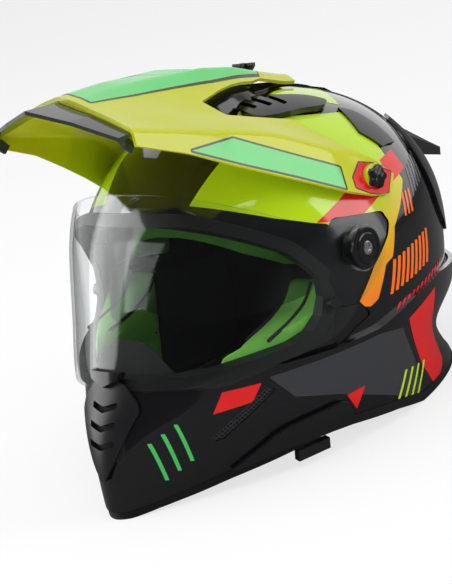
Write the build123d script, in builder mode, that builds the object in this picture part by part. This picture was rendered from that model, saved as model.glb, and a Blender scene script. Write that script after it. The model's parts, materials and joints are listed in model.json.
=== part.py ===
from build123d import *
import math
import os

os.makedirs("parts", exist_ok=True)

# Driving dimensions, in millimetres, in the wearer's head frame: front -Y, left +X, up +Z.
# Rows are height, front reach, rear reach, half width, front exponent, rear exponent of a superellipse.
PLAN_Y = -8
DOME = [
    (82, -150, 104, 108, 1.95, 2.1),
    (118, -150, 118, 118.3, 1.97, 2.1),
    (152, -146.5, 120, 121.0, 1.98, 2.1),
    (187, -134, 120, 112.5, 2.05, 2.1),
    (217, -112, 105, 96, 2.05, 2.1),
    (242, -79, 76, 71, 2.05, 2.1),
    (256, -41, 44, 39, 2.0, 2.0),
    (261.5, -22, 14, 14, 2.0, 2.0),
]
JAW = [
    (-12, -178, 128, 102, 1.32, 2.1),
    (30, -182, 127, 109, 1.44, 2.1),
    (60, -179, 127, 113, 1.58, 2.1),
    (87, -169.5, 104, 115, 1.75, 2.1),
    (112, -165, 129, 120, 1.87, 2.1),
    (134, -161, 130, 123, 1.95, 2.1),
]
INNER = [
    (-16, -169, 118, 96, 1.4, 2.1),
    (42, -174, 113, 104.5, 1.5, 2.1),
    (80, -165, 98, 108, 1.68, 2.1),
    (125, -145, 113, 115, 1.95, 2.1),
    (165, -139, 115, 115, 2.05, 2.1),
    (213, -109, 102, 93.5, 2.05, 2.1),
    (243, -66, 64, 58, 2.05, 2.1),
    (256.5, -24, 16, 16, 2.0, 2.0),
]
CAVITY = [
    (20, -102, 88, 80, 2.0, 2.1),
    (90, -106, 90, 83, 2.0, 2.1),
    (150, -104, 92, 86, 2.0, 2.1),
    (190, -96, 86, 79, 2.0, 2.1),
    (215, -72, 68, 60, 2.0, 2.0),
    (228, -24, 24, 20, 2.0, 2.0),
]
SHIELD = [
    (66, -175.5, 60, 124, 1.68, 2.1),
    (84, -174.5, 60, 124, 1.75, 2.1),
    (110, -168.7, 60, 123.8, 1.83, 2.1),
    (145, -160.8, 60, 123.6, 1.94, 2.1),
    (182, -149.5, 60, 122.6, 2.05, 2.1),
    (212, -134.5, 60, 119, 2.05, 2.1),
]
SCALE_X = 122.0
SCALE_Y = 150.0
SCALE_Z = 141.5
SCALE_FROM_Z = 120.0

SEAM = 0.3
SHELL_POCKET = 3.6
TRIM_HEIGHT = 6.0
SHIELD_THICKNESS = 2.2
SUN_LENS_THICKNESS = 1.8
SUN_LENS_INSET = 26.0
PEAK_THICKNESS = 2.6
LINER_THICKNESS = 4.0

# The table touches the chin edge and the nape edge, so the lower edge is a height over that line.
CHIN_EDGE = (-178.0, -5.0)
NAPE_EDGE = (95.0, 58.0)
REST_SLOPE = (NAPE_EDGE[1] - CHIN_EDGE[1]) / (NAPE_EDGE[0] - CHIN_EDGE[0])
EDGE_RISE = [
    (-215, 3), (-178, 0), (-161, 3.1), (-142, 5.7), (-125, 8.8), (-100, 12), (-71, 16.3), (-51, 14.7),
    (-12, 8.2), (18, 0.4), (30, 0), (95, 0), (150, 4),
]
REST_FLAT = 0.8

# Side outlines as (y, z).
CREASE = [
    (-220, 87), (-150, 87), (-131, 90), (-115, 91), (-100, 89.5), (-65, 94), (-30, 101), (3, 116), (39, 127),
    (80, 129), (170, 131),
]
EYEPORT = [
    (-230, 86), (-150, 86), (-131, 89), (-110, 95), (-92, 100), (-81, 106), (-74, 117), (-72, 130),
    (-74, 144), (-81, 152), (-93, 164), (-118, 178), (-135, 187), (-230, 190),
]
SHIELD_OUTLINE = [
    (-190, 82), (-150, 80.5), (-136, 80), (-124, 85), (-107, 92), (-91, 96), (-74, 101), (-60, 110),
    (-50, 123), (-33, 140), (-26, 153), (-28, 166), (-36, 174), (-48, 177), (-62, 174.5), (-75, 175.5),
    (-92, 182), (-120, 196), (-131, 202), (-140, 206), (-190, 207),
]
POD = [(-66.5, 100), (-56, 96), (-40, 104), (-20, 146), (-15, 168), (-20, 179), (-60, 179), (-66.5, 172)]
POD_SPLIT_Z = 121.0

SHIELD_PIVOT = (-48.0, 158.0)
SHIELD_HUB_RADIUS = 9.0
SHIELD_CAP_RADIUS = 14.0
SUN_PIVOT = (-52.0, 160.0)
SIDE_SCREW = (-21.5, 201.0)
TOP_SCREW_Y = -13.0
SCREW_RADIUS = 2.9
RUNNING_FIT = 0.08

BOTH_SIDES = (1, -1)
SIDE_NAME = {1: "left", -1: "right"}
PIECES = {}


def ring_points(row, grow, count):
    # A closed plan curve whose front half and rear half are superellipses of their own exponent.
    height, front, rear, half_width, front_power, rear_power = row
    points = []
    for i in range(count):
        angle = math.pi / 2 - 2 * math.pi * i / count
        c = math.cos(angle)
        s = math.sin(angle)
        power = 2 / (front_power if s < 0 else rear_power)
        reach = rear - PLAN_Y if s > 0 else PLAN_Y - front
        x = half_width * math.copysign(abs(c) ** power, c) * (1 + grow / SCALE_X)
        y = PLAN_Y + reach * math.copysign(abs(s) ** power, s) * (1 + grow / SCALE_Y)
        z = height
        if height > SCALE_FROM_Z:
            z = SCALE_FROM_Z + (height - SCALE_FROM_Z) * (1 + grow / SCALE_Z)
        points.append(Vector(x, y, z))
    return points


def hull(table, grow=0.0, count=14):
    # A solid lofted through the table's plan curves, grown outward by about the given distance.
    wires = []
    for row in table:
        points = ring_points(row, grow, count)
        knots = [i / count for i in range(count + 1)]
        wires.append(Wire([Edge.make_spline(points, parameters=knots, periodic=True)]))
    return Part() + Solid.make_loft(wires)


def prism(outline, axis="X", start=-260.0, end=260.0):
    # An outline pushed along one axis: (y, z) along X, (x, z) along Y or (x, y) along Z.
    if axis == "X":
        corners = [Vector(start, a, b) for a, b in outline]
        reach = Vector(end - start, 0, 0)
    elif axis == "Y":
        corners = [Vector(a, start, b) for a, b in outline]
        reach = Vector(0, end - start, 0)
    else:
        corners = [Vector(a, b, start) for a, b in outline]
        reach = Vector(0, 0, end - start)
    face = Face(Wire.make_polygon(corners, close=True))
    return Part() + Solid.extrude(face, reach)


def drum(radius, start, end, centre, axis="X"):
    # A round bar along one axis from start to end.
    if axis == "X":
        plane = Plane(origin=(start, centre[0], centre[1]), x_dir=(0, 1, 0), z_dir=(1, 0, 0))
    elif axis == "Y":
        plane = Plane(origin=(centre[0], start, centre[1]), x_dir=(1, 0, 0), z_dir=(0, 1, 0))
    else:
        plane = Plane(origin=(centre[0], centre[1], start), x_dir=(1, 0, 0), z_dir=(0, 0, 1))
    return Part() + Solid.make_cylinder(radius, end - start, plane)


def block(low, high):
    size = [b - a for a, b in zip(low, high)]
    return Part() + Solid.make_box(*size, Plane(origin=low))


def mirrored(outline):
    # The outline of a symmetric shape from its half with x >= 0.
    return outline + [(-x, z) for x, z in reversed(outline) if x != 0]


def sided(outline, side):
    return [(side * a, b) for a, b in outline]


def rest_height(y):
    return CHIN_EDGE[1] + REST_SLOPE * (y - CHIN_EDGE[0])


def edge_line(rise):
    return [(y, rest_height(y) + h + rise) for y, h in EDGE_RISE]


def under_edge(rise):
    # Everything below a line that follows the helmet's lower edge.
    line = edge_line(rise)
    return prism([(line[0][0] - 20, -120)] + [(line[0][0] - 20, line[0][1])] + line + [(line[-1][0], -120)])


def keep(name, builder):
    PIECES[name] = builder


# Forms used by several pieces.
crease_prism = prism(CREASE + [(170, -60), (-220, -60)])
eyeport_prism = prism(EYEPORT)
jaw_form = hull(JAW) & crease_prism
outer_form = hull(DOME) + jaw_form
inner_form = hull(INNER)
pod_prism = prism(POD)
edge_cut = under_edge(TRIM_HEIGHT + SEAM)
trim_top = under_edge(TRIM_HEIGHT)
trim_bottom = under_edge(0)

# Outer shell
SIDE_BOSS = 110.2
EAR_FACE = 114.6
TOP_BOSS_Z = 264.9
TOP_BOSS_RADIUS = 9.4
MESH_STRIP = [(-134, 42), (-104, 73), (-108, 77), (-138, 46)]
CHIN_SLOTS_Z = (44.0, 56.0, 68.0)
TOP_PORT_Y = (-58.0, -34.0)
pod_recess = pod_prism - hull(DOME, -SHELL_POCKET)
with BuildPart() as outer_shell:
    add(outer_form)
    add(inner_form, mode=Mode.SUBTRACT)
    add(eyeport_prism, mode=Mode.SUBTRACT)
    add(edge_cut, mode=Mode.SUBTRACT)
    add(pod_recess, mode=Mode.SUBTRACT)
    for side in BOTH_SIDES:
        strip_reach = sorted((side * 30.0, side * 140.0))
        add(prism(MESH_STRIP, "X", *strip_reach), mode=Mode.SUBTRACT)
        low_x, high_x = sorted((side * 30.0, side * 52.0))
        add(block((low_x, TOP_PORT_Y[0], 200), (high_x, TOP_PORT_Y[1], 270)), mode=Mode.SUBTRACT)
        add(drum(9, *sorted((side * 98.0, side * SIDE_BOSS)), SIDE_SCREW))
        hole = sorted((side * 90.0, side * 120.0))
        add(drum(SCREW_RADIUS + RUNNING_FIT, *hole, SIDE_SCREW), mode=Mode.SUBTRACT)
        hub = sorted((side * 112.5, side * 123.4))
        add(drum(SHIELD_HUB_RADIUS, *hub, SHIELD_PIVOT))
    for z in CHIN_SLOTS_Z:
        add(block((-9, -200, z), (9, -140, z + 6)), mode=Mode.SUBTRACT)
    add(drum(TOP_BOSS_RADIUS, 252, TOP_BOSS_Z, (0, TOP_SCREW_Y), "Z"))
    add(drum(SCREW_RADIUS + RUNNING_FIT, 240, 275, (0, TOP_SCREW_Y), "Z"), mode=Mode.SUBTRACT)
keep("outer_shell", outer_shell)

# Impact liner: expanded foam between the shell and the head, with a pocket the sun lens lifts into
LINER_SIDE = [
    (-112, 226), (-96, 219), (-94, 184), (-56, 152), (-44, 143), (32, 143), (32, 66), (80, 66), (125, 86),
    (125, 270), (-112, 270),
]
lens_slot = prism([(-140, 108), (-36, 108), (-36, 190), (-60, 226), (-140, 226)])
lens_slot = (lens_slot & hull(SHIELD, -21.0)) - hull(SHIELD, -32.0)
with BuildPart() as impact_liner:
    add(prism(LINER_SIDE))
    add(hull(INNER, -0.4), mode=Mode.INTERSECT)
    add(hull(CAVITY, LINER_THICKNESS, 12), mode=Mode.SUBTRACT)
    add(lens_slot, mode=Mode.SUBTRACT)
    add(block((-74, -100, 195.5), (74, -82.5, 209)), mode=Mode.SUBTRACT)
    add(drum(TOP_BOSS_RADIUS + 1, 240, 262, (0, TOP_SCREW_Y), "Z"), mode=Mode.SUBTRACT)
    for side in BOTH_SIDES:
        add(drum(9.5, *sorted((side * 86.0, side * 125.0)), SIDE_SCREW), mode=Mode.SUBTRACT)
        add(drum(6.3, *sorted((side * 86.0, side * 125.0)), SUN_PIVOT), mode=Mode.SUBTRACT)
keep("impact_liner", impact_liner)

# Crown liner: padded cloth cap over the foam
with BuildPart() as crown_liner:
    add(prism([(-90, 186), (-50, 172), (95, 172), (95, 260), (-90, 260)]))
    add(hull(CAVITY, LINER_THICKNESS - SEAM, 12), mode=Mode.INTERSECT)
    add(hull(CAVITY, 0, 12), mode=Mode.SUBTRACT)
keep("crown_liner", crown_liner)

# Brow pad: padded band round the forehead, thick in its middle and drawn in at its upper and lower edge
BROW_FACE = [
    (138, -104.5, 92, 86.5, 2.0, 2.1),
    (148, -103, 91, 85, 2.0, 2.1),
    (157, -99, 88, 81, 2.0, 2.1),
    (168, -96.5, 86, 78.5, 2.0, 2.1),
    (179, -94.5, 85, 77.5, 2.0, 2.1),
    (187, -97.5, 87, 80, 2.0, 2.1),
    (194, -99, 88, 82, 2.0, 2.1),
]
with BuildPart() as brow_pad:
    add(prism([(-130, 156), (-20, 144), (-20, 171.5), (-51, 171.5), (-90, 185.5), (-130, 185.5)]))
    add(hull(CAVITY, LINER_THICKNESS - SEAM, 12), mode=Mode.INTERSECT)
    add(hull(BROW_FACE, 0, 12), mode=Mode.SUBTRACT)
keep("brow_pad", brow_pad)

# Chin liner: foam inside the chin bar
with BuildPart() as chin_liner:
    add(hull(INNER, -0.4))
    add(prism([(-200, 76), (-92, 76), (-92, 35), (-200, 2)]), mode=Mode.INTERSECT)
    add(hull(INNER, -17), mode=Mode.SUBTRACT)
    add(block((-13.4, -200, 30), (13.4, -140, 84)), mode=Mode.SUBTRACT)
keep("chin_liner", chin_liner)

# Cheek foam and cheek pads
CHEEK_SIDE = [(-110, 60), (-116, 80), (-98, 97), (-66, 130), (-44, 142), (28, 142), (28, 62)]
CHEEK_SPLIT = 80.0
HEAD_HALF_WIDTH = 60.0
FACE_ROOM = [(40, -190, 130, 58, 2.0, 2.0), (100, -190, 130, 62, 2.0, 2.0), (160, -190, 130, 60, 2.0, 2.0)]
face_room = hull(FACE_ROOM, 0, 12)
CROWN_SECTIONS = [
    (CHEEK_SPLIT - SEAM, 0.96), (CHEEK_SPLIT - 7, 1.0),
    (HEAD_HALF_WIDTH + 7, 0.95), (HEAD_HALF_WIDTH + 0.5, 0.78),
]
CHEEK_CHANNEL = [(-90, 82), (12, 108), (12, 111), (-90, 85)]


def cushion(outline, sections, side):
    # A pad through copies of its (y, z) outline: (x, scale) from its back to its crown.
    middle_y = sum(y for y, z in outline) / len(outline)
    middle_z = sum(z for y, z in outline) / len(outline)
    wires = []
    for x, scale in sections:
        spots = [(middle_y + (y - middle_y) * scale, middle_z + (z - middle_z) * scale) for y, z in outline]
        wires.append(Wire.make_polygon([Vector(side * x, y, z) for y, z in spots], close=True))
    return Part() + Solid.make_loft(wires, ruled=True)


for side in BOTH_SIDES:
    with BuildPart() as cheek_foam:
        add(prism(CHEEK_SIDE, "X", *sorted((side * CHEEK_SPLIT, side * 130.0))))
        add(hull(INNER, -0.4), mode=Mode.INTERSECT)
        chin_room = [(-220, -20), (-92 + SEAM, -20), (-92 + SEAM, 76 + SEAM), (-220, 76 + SEAM)]
        add(prism(chin_room), mode=Mode.SUBTRACT)
        add(drum(7, *sorted((side * 90.0, side * 130.0)), SUN_PIVOT), mode=Mode.SUBTRACT)
        add(lens_slot, mode=Mode.SUBTRACT)
    keep("cheek_foam_" + SIDE_NAME[side], cheek_foam)
    with BuildPart() as cheek_pad:
        add(cushion(CHEEK_SIDE, CROWN_SECTIONS, side))
        add(hull(INNER, -18), mode=Mode.INTERSECT)
        add(face_room, mode=Mode.SUBTRACT)
        channel_reach = sorted((side * 40.0, side * (HEAD_HALF_WIDTH + 3.0)))
        add(prism(CHEEK_CHANNEL, "X", *channel_reach), mode=Mode.SUBTRACT)
    keep("cheek_pad_" + SIDE_NAME[side], cheek_pad)

# Neck roll: padded collar round the nape
ROLL_SIDE = [(6, 52), (60, 58.5), (84, 63), (108, 69.5), (130, 76), (130, 84), (80, 65.2), (28, 61), (6, 60)]
with BuildPart() as neck_roll:
    add(prism(ROLL_SIDE))
    add(hull(INNER, -0.4), mode=Mode.INTERSECT)
    add(hull(CAVITY, 2, 12), mode=Mode.SUBTRACT)
keep("neck_roll", neck_roll)

# Bottom trim: rubber edge, with a small flat where it stands on the table
with BuildPart() as bottom_trim:
    add(trim_top)
    add(trim_bottom, mode=Mode.SUBTRACT)
    add(hull(JAW, 1.3), mode=Mode.INTERSECT)
    add(hull(INNER, -3), mode=Mode.SUBTRACT)
    floor_line = [(y, rest_height(y) + REST_FLAT) for y in (-260, 220)]
    add(prism(floor_line + [(220, -160), (-260, -160)]), mode=Mode.SUBTRACT)
keep("bottom_trim", bottom_trim)

# Side base covers and the sun lens lever that slides under the left one
COVER_SIDE = [
    (-131, 20), (-118, 31), (-102, 45), (-84, 51), (-64, 56.5), (-58, 56), (-54, 48), (-52, 40.5), (-71, 37),
    (-103, 30),
]
COVER_GAP = 1.7
LEVER_Y = (-90.0, -66.0)
LEVER_TRAVEL = 14.0
for side in BOTH_SIDES:
    with BuildPart() as side_cover:
        add(prism(COVER_SIDE, "X", *sorted((side * 30.0, side * 140.0))))
        add(hull(JAW, 4.6), mode=Mode.INTERSECT)
        add(hull(JAW, COVER_GAP), mode=Mode.SUBTRACT)
    keep("side_cover_" + SIDE_NAME[side], side_cover)
LEVER_PLAN = [(86.5, -90.0), (95.5, -68.0), (89.5, -65.5), (80.5, -87.5)]
LEVER_DEPTH = 7.0
lever_line = [(y, rest_height(y) + 13.1) for y in (-120.0, -40.0)]
lever_side = lever_line + [(y, z - LEVER_DEPTH) for y, z in reversed(lever_line)]
with BuildPart() as sun_lever:
    add(prism(LEVER_PLAN, "Z", 0, 60))
    add(prism(lever_side), mode=Mode.INTERSECT)
    for i in range(4):
        x, y = 89.2 + 1.6 * i, -85.0 + 4.0 * i
        grip = [(x, y - 0.9), (x + 6, y - 3.2), (x + 6, y - 1.4), (x, y + 0.9)]
        add(prism(grip, "Z", 0, 60), mode=Mode.SUBTRACT)
keep("sun_lever", sun_lever)

# Face shield
NOTCH = [(-27, 70), (-25.5, 84), (-15, 95.5), (15, 95.5), (25.5, 84), (27, 70)]
PIN_AT = (-71.0, 125.0)
PIN_RADIUS = 3.2
with BuildPart() as face_shield:
    add(prism(SHIELD_OUTLINE))
    add(hull(SHIELD), mode=Mode.INTERSECT)
    add(hull(SHIELD, -SHIELD_THICKNESS), mode=Mode.SUBTRACT)
    add(prism(NOTCH, "Y", -220, -120), mode=Mode.SUBTRACT)
    add(drum(SHIELD_HUB_RADIUS + RUNNING_FIT, -140, 140, SHIELD_PIVOT), mode=Mode.SUBTRACT)
    add(drum(PIN_RADIUS, -140, 140, PIN_AT), mode=Mode.SUBTRACT)
keep("face_shield", face_shield)

# Shield pins, pivot bases, caps and cap screws
for side in BOTH_SIDES:
    with BuildPart() as shield_pin:
        add(drum(PIN_RADIUS, *sorted((side * 106.0, side * 114.6)), PIN_AT))
        add(drum(PIN_RADIUS + 1.2, *sorted((side * 112.6, side * 115.2)), PIN_AT))
        add(hull(SHIELD, 1.6), mode=Mode.INTERSECT)
        add(hull(SHIELD, -SHIELD_THICKNESS), mode=Mode.SUBTRACT)
    keep("shield_pin_" + SIDE_NAME[side], shield_pin)
    reach = sorted((side * 60.0, side * 160.0))
    with BuildPart() as pivot_base:
        add(prism(POD, "X", *reach))
        add(hull(DOME, -0.9), mode=Mode.INTERSECT)
        add(hull(DOME, -SHELL_POCKET), mode=Mode.SUBTRACT)
        add(eyeport_prism, mode=Mode.SUBTRACT)
        add(drum(SHIELD_HUB_RADIUS, -140, 140, SHIELD_PIVOT), mode=Mode.SUBTRACT)
        add(block((-200, -100, 60), (200, 20, POD_SPLIT_Z)), mode=Mode.SUBTRACT)
    keep("pivot_base_" + SIDE_NAME[side], pivot_base)
    with BuildPart() as pod_cover:
        add(prism(POD, "X", *reach))
        add(hull(DOME, -0.9), mode=Mode.INTERSECT)
        add(hull(DOME, -SHELL_POCKET), mode=Mode.SUBTRACT)
        add(eyeport_prism, mode=Mode.SUBTRACT)
        add(block((-200, -100, POD_SPLIT_Z - 0.6), (200, 20, 200)), mode=Mode.SUBTRACT)
        add(jaw_form, mode=Mode.SUBTRACT)
        add(inner_form, mode=Mode.SUBTRACT)
    keep("pod_cover_" + SIDE_NAME[side], pod_cover)
    with BuildPart() as shield_cap:
        add(drum(SHIELD_CAP_RADIUS, *sorted((side * 123.4, side * 126.0)), SHIELD_PIVOT))
        add(drum(SHIELD_CAP_RADIUS - 2.5, *sorted((side * 125.2, side * 127.2)), SHIELD_PIVOT))
        add(drum(5.4, *sorted((side * 125.0, side * 130.0)), SHIELD_PIVOT), mode=Mode.SUBTRACT)
    keep("shield_cap_" + SIDE_NAME[side], shield_cap)
    with BuildPart() as cap_screw:
        add(drum(5.2, *sorted((side * 125.0, side * 126.6)), SHIELD_PIVOT))
        slot_x = sorted((side * 125.9, side * 130.0))
        slot_y, slot_z = SHIELD_PIVOT
        slot = block((slot_x[0], slot_y - 3.6, slot_z - 0.7), (slot_x[1], slot_y + 3.6, slot_z + 0.7))
        add(slot, mode=Mode.SUBTRACT)
    keep("cap_screw_" + SIDE_NAME[side], cap_screw)

# Inner sun lens and its pivots
SUN_SIDE = [
    (-170, 115), (-118, 117.5), (-80, 125), (-62, 130), (-52, 150), (-46, 151), (-42, 160), (-46, 168),
    (-60, 170), (-84, 184), (-170, 192),
]
SUN_NOTCH = [(-36, 100), (-20, 124), (-4, 128), (4, 128), (20, 124), (36, 100)]
SUN_PIN_RADIUS = 3.0
with BuildPart() as sun_lens:
    add(prism(SUN_SIDE))
    add(hull(SHIELD, -SUN_LENS_INSET), mode=Mode.INTERSECT)
    add(hull(SHIELD, -SUN_LENS_INSET - SUN_LENS_THICKNESS * 1.2), mode=Mode.SUBTRACT)
    add(prism(SUN_NOTCH, "Y", -220, -100), mode=Mode.SUBTRACT)
    add(drum(SUN_PIN_RADIUS + RUNNING_FIT, -140, 140, SUN_PIVOT), mode=Mode.SUBTRACT)
keep("sun_lens", sun_lens)
for side in BOTH_SIDES:
    with BuildPart() as sun_pivot:
        add(drum(SUN_PIN_RADIUS, *sorted((side * 88.0, side * 110.0)), SUN_PIVOT))
        add(drum(6.0, *sorted((side * 97.5, side * 120.0)), SUN_PIVOT))
        add(hull(INNER, -0.2), mode=Mode.INTERSECT)
    keep("sun_pivot_" + SIDE_NAME[side], sun_pivot)

# Peak: folded panels through cross-sections at stations along Y
PEAK_STATIONS = [
    (-190, [(0, 275), (14, 271.5), (27, 267), (44, 261), (63.5, 253.3), (66, 243)]),
    (-150, [(0, 280), (15, 276.5), (29, 268.5), (50, 258.5), (69.5, 247.3), (73, 233)]),
    (-115, [(0, 281), (18, 279.5), (30, 269.5), (52, 254.5), (74, 243), (84, 220)]),
    (-80, [(0, 276), (22, 282), (31, 270.5), (57, 250), (85.5, 236.3), (99, 207)]),
    (-50, [(0, 272), (22, 280), (28, 270.5), (68, 243.5), (99.5, 224), (114, 195.3)]),
    (-25, [(0, 270), (20, 275), (24, 269), (82, 238), (106.5, 217), (116.5, 189)]),
    (4, [(0, 268), (15, 270), (21, 264), (92, 232), (111, 209), (117, 188)]),
    (37, [(0, 265.5), (12, 265.2), (21, 262.5), (92, 232), (111, 209), (117, 188)]),
]


def folded(half, thickness):
    # A folded strip: the half outline mirrored, closed by the same outline moved inward.
    full = [(-x, z) for x, z in reversed(half[1:])] + half
    inner = []
    for i, (x, z) in enumerate(full):
        before = full[max(i - 1, 0)]
        after = full[min(i + 1, len(full) - 1)]
        normals = []
        for a, b in ((before, (x, z)), ((x, z), after)):
            length = math.hypot(b[0] - a[0], b[1] - a[1])
            if length > 0:
                normals.append(((b[1] - a[1]) / length, -(b[0] - a[0]) / length))
        nx = sum(n[0] for n in normals)
        nz = sum(n[1] for n in normals)
        size = math.hypot(nx, nz)
        nx, nz = nx / size, nz / size
        reach = thickness / max(0.5, nx * normals[0][0] + nz * normals[0][1])
        inner.append((x + nx * reach, z + nz * reach))
    return full + list(reversed(inner))


def folded_loft(stations, thickness):
    wires = []
    for y, half in stations:
        corners = [Vector(x, y, z) for x, z in folded(half, thickness)]
        wires.append(Wire.make_polygon(corners, close=True))
    return Part() + Solid.make_loft(wires, ruled=True)


PEAK_WINDOW = [
    (42, -104), (56, -96), (62, -73), (68.5, -50), (82, -32), (95, -33), (104, -25), (111, -9), (114, 2),
    (140, 4), (140, 60), (20, 60), (21, 37), (21.5, 4), (24.5, -25), (29, -50), (32, -80),
]
EAR_SIDE = [
    (-60, 260), (-36, 226), (-27, 219), (-9, 208), (2, 203), (-9, 187), (60, 150), (60, 290), (-60, 290),
]
TILT_ROOM = 1.8
TOP_SEAT_Z = 271.6
with BuildPart() as peak:
    add(folded_loft(PEAK_STATIONS, PEAK_THICKNESS))
    for side in BOTH_SIDES:
        add(prism(sided(PEAK_WINDOW, side), "Z", 150, 320), mode=Mode.SUBTRACT)
        ear_cut = prism(EAR_SIDE, "X", *sorted((side * 60.0, side * 150.0)))
        add(ear_cut, mode=Mode.SUBTRACT)
        seat_x = side * (SIDE_BOSS + SEAM)
        bore_reach = sorted((side * 100.0, side * 125.0))
        add(drum(9.6, *sorted((side * 90.0, seat_x)), SIDE_SCREW), mode=Mode.SUBTRACT)
        add(drum(10, *sorted((seat_x, side * EAR_FACE)), SIDE_SCREW))
        add(drum(9.6, *sorted((side * EAR_FACE, side * 125.0)), SIDE_SCREW), mode=Mode.SUBTRACT)
        add(drum(SCREW_RADIUS + RUNNING_FIT, *bore_reach, SIDE_SCREW), mode=Mode.SUBTRACT)
    add(drum(TOP_BOSS_RADIUS + 1.2, 240, TOP_BOSS_Z + TILT_ROOM, (0, TOP_SCREW_Y), "Z"), mode=Mode.SUBTRACT)
    add(drum(9.5, TOP_BOSS_Z + TILT_ROOM, TOP_SEAT_Z, (0, TOP_SCREW_Y), "Z"))
    add(drum(9.5, TOP_SEAT_Z, 290, (0, TOP_SCREW_Y), "Z"), mode=Mode.SUBTRACT)
    slot_low = (-SCREW_RADIUS - 0.2, TOP_SCREW_Y - 7.2, 255)
    slot_high = (SCREW_RADIUS + 0.2, TOP_SCREW_Y + 3.2, 290)
    add(block(slot_low, slot_high), mode=Mode.SUBTRACT)
keep("peak", peak)

# Air deflector under the peak's front edge and its two end tips
PLATE_THICKNESS = 2.4
DEFLECTOR = [
    (0, (-219, 269), (-190.4, 271.2)),
    (30, (-209.5, 260.5), (-190.4, 262.6)),
    (61.5, (-200.5, 249.2), (-190.4, 250.9)),
]
with BuildPart() as deflector:
    wires = []
    for x, front, rear in [(-x, f, r) for x, f, r in reversed(DEFLECTOR[1:])] + DEFLECTOR:
        corners = [front, rear, (rear[0], rear[1] - PLATE_THICKNESS), (front[0], front[1] - PLATE_THICKNESS)]
        wires.append(Wire.make_polygon([Vector(x, y, z) for y, z in corners], close=True))
    add(Solid.make_loft(wires, ruled=True))
keep("deflector", deflector)
TIP = [(-198, 247.6), (-191, 248.8), (-184, 243.4), (-188.5, 238.6), (-194, 242)]
for side in BOTH_SIDES:
    with BuildPart() as deflector_tip:
        add(prism(TIP, "X", *sorted((side * 57.2, side * 59.4))))
    keep("deflector_tip_" + SIDE_NAME[side], deflector_tip)


def wing_screw(base, wing, length, bore_depth):
    # A thumb screw along +Z from its seat at zero: shaft below, flanged hub and three wings above.
    parts = Part() + Solid.make_cylinder(SCREW_RADIUS, bore_depth, Plane(origin=(0, 0, -bore_depth)))
    parts += Solid.make_cone(base, base * 0.5, length * 0.6, Plane(origin=(0, 0, 0)))
    wing_side = [(0, 0), (wing, 0), (wing, length * 0.8), (wing * 0.75, length), (0, length * 0.6)]
    fin = prism(wing_side, "Y", -1.3, 1.3)
    for i in range(3):
        parts += fin.rotate(Axis.Z, 120 * i)
    return parts


# Thumb screws: one on top, one each side
with BuildPart() as top_screw:
    add(wing_screw(8.0, 8.8, 7.4, 16).moved(Location((0, TOP_SCREW_Y, TOP_SEAT_Z + 0.05), (0, 0, 30))))
keep("top_screw", top_screw)
for side in BOTH_SIDES:
    with BuildPart() as side_screw:
        seat_at = (side * (EAR_FACE + 0.05), SIDE_SCREW[0], SIDE_SCREW[1])
        seat = Plane(origin=seat_at, x_dir=(0, 1, 0), z_dir=(side, 0, 0))
        add(wing_screw(8.8, 9.2, 11.0, 14).moved(seat.location))
    keep("side_screw_" + SIDE_NAME[side], side_screw)

# Top vents: ribbed intakes on the crown
INTAKE = [(28, -43), (33, -61), (52, -62), (62, -48), (71, -16), (66, -5), (57, -13), (44, -30)]
for side in BOTH_SIDES:
    with BuildPart() as top_vent:
        add(prism(sided(INTAKE, side), "Z", 200, 290))
        add(hull(DOME, 5.2), mode=Mode.INTERSECT)
        add(hull(DOME, SEAM), mode=Mode.SUBTRACT)
        for i in range(3):
            y = -56 + 8.5 * i
            low_x, high_x = sorted((side * 25.0, side * (44.0 + 6 * i)))
            add(block((low_x, y, 200), (high_x, y + 4.2, 290)), mode=Mode.SUBTRACT)
    keep("top_vent_" + SIDE_NAME[side], top_vent)

# Crown ridge between the intakes
RIDGE = [(0, -30), (24, -26), (13, 10), (9, 49), (0, 49)]
with BuildPart() as crown_ridge:
    add(prism(RIDGE + [(-x, y) for x, y in reversed(RIDGE) if x], "Z", 230, 290))
    add(hull(DOME, 1.6), mode=Mode.INTERSECT)
    add(hull(DOME, 0.2), mode=Mode.SUBTRACT)
    add(drum(TOP_BOSS_RADIUS + SEAM, 240, 290, (0, TOP_SCREW_Y), "Z"), mode=Mode.SUBTRACT)
keep("crown_ridge", crown_ridge)

# Rear channel strips
STRIP = [(69, 1), (73, 13), (84, 24), (93, 30), (97, 11), (89, -2)]
for side in BOTH_SIDES:
    with BuildPart() as rear_strip:
        add(prism(sided(STRIP, side), "Z", 190, 290))
        add(hull(DOME, 1.8), mode=Mode.INTERSECT)
        add(hull(DOME, SEAM), mode=Mode.SUBTRACT)
    keep("rear_strip_" + SIDE_NAME[side], rear_strip)

# Rear spoiler
SPOILER = [
    (50, [(0, 257), (18, 255), (30, 248)], 9),
    (95, [(0, 233), (30, 229), (51, 216)], 15),
    (163, [(0, 204), (20, 203), (32, 198)], 6),
]
with BuildPart() as rear_spoiler:
    wires = []
    for y, half, depth in SPOILER:
        top = [(-x, z) for x, z in reversed(half[1:])] + half
        low = [(x, z - depth) for x, z in reversed(top)]
        wires.append(Wire.make_polygon([Vector(x, y, z) for x, z in top + low], close=True))
    add(Solid.make_loft(wires, ruled=True))
    add(hull(DOME, SEAM), mode=Mode.SUBTRACT)
keep("rear_spoiler", rear_spoiler)

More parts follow.
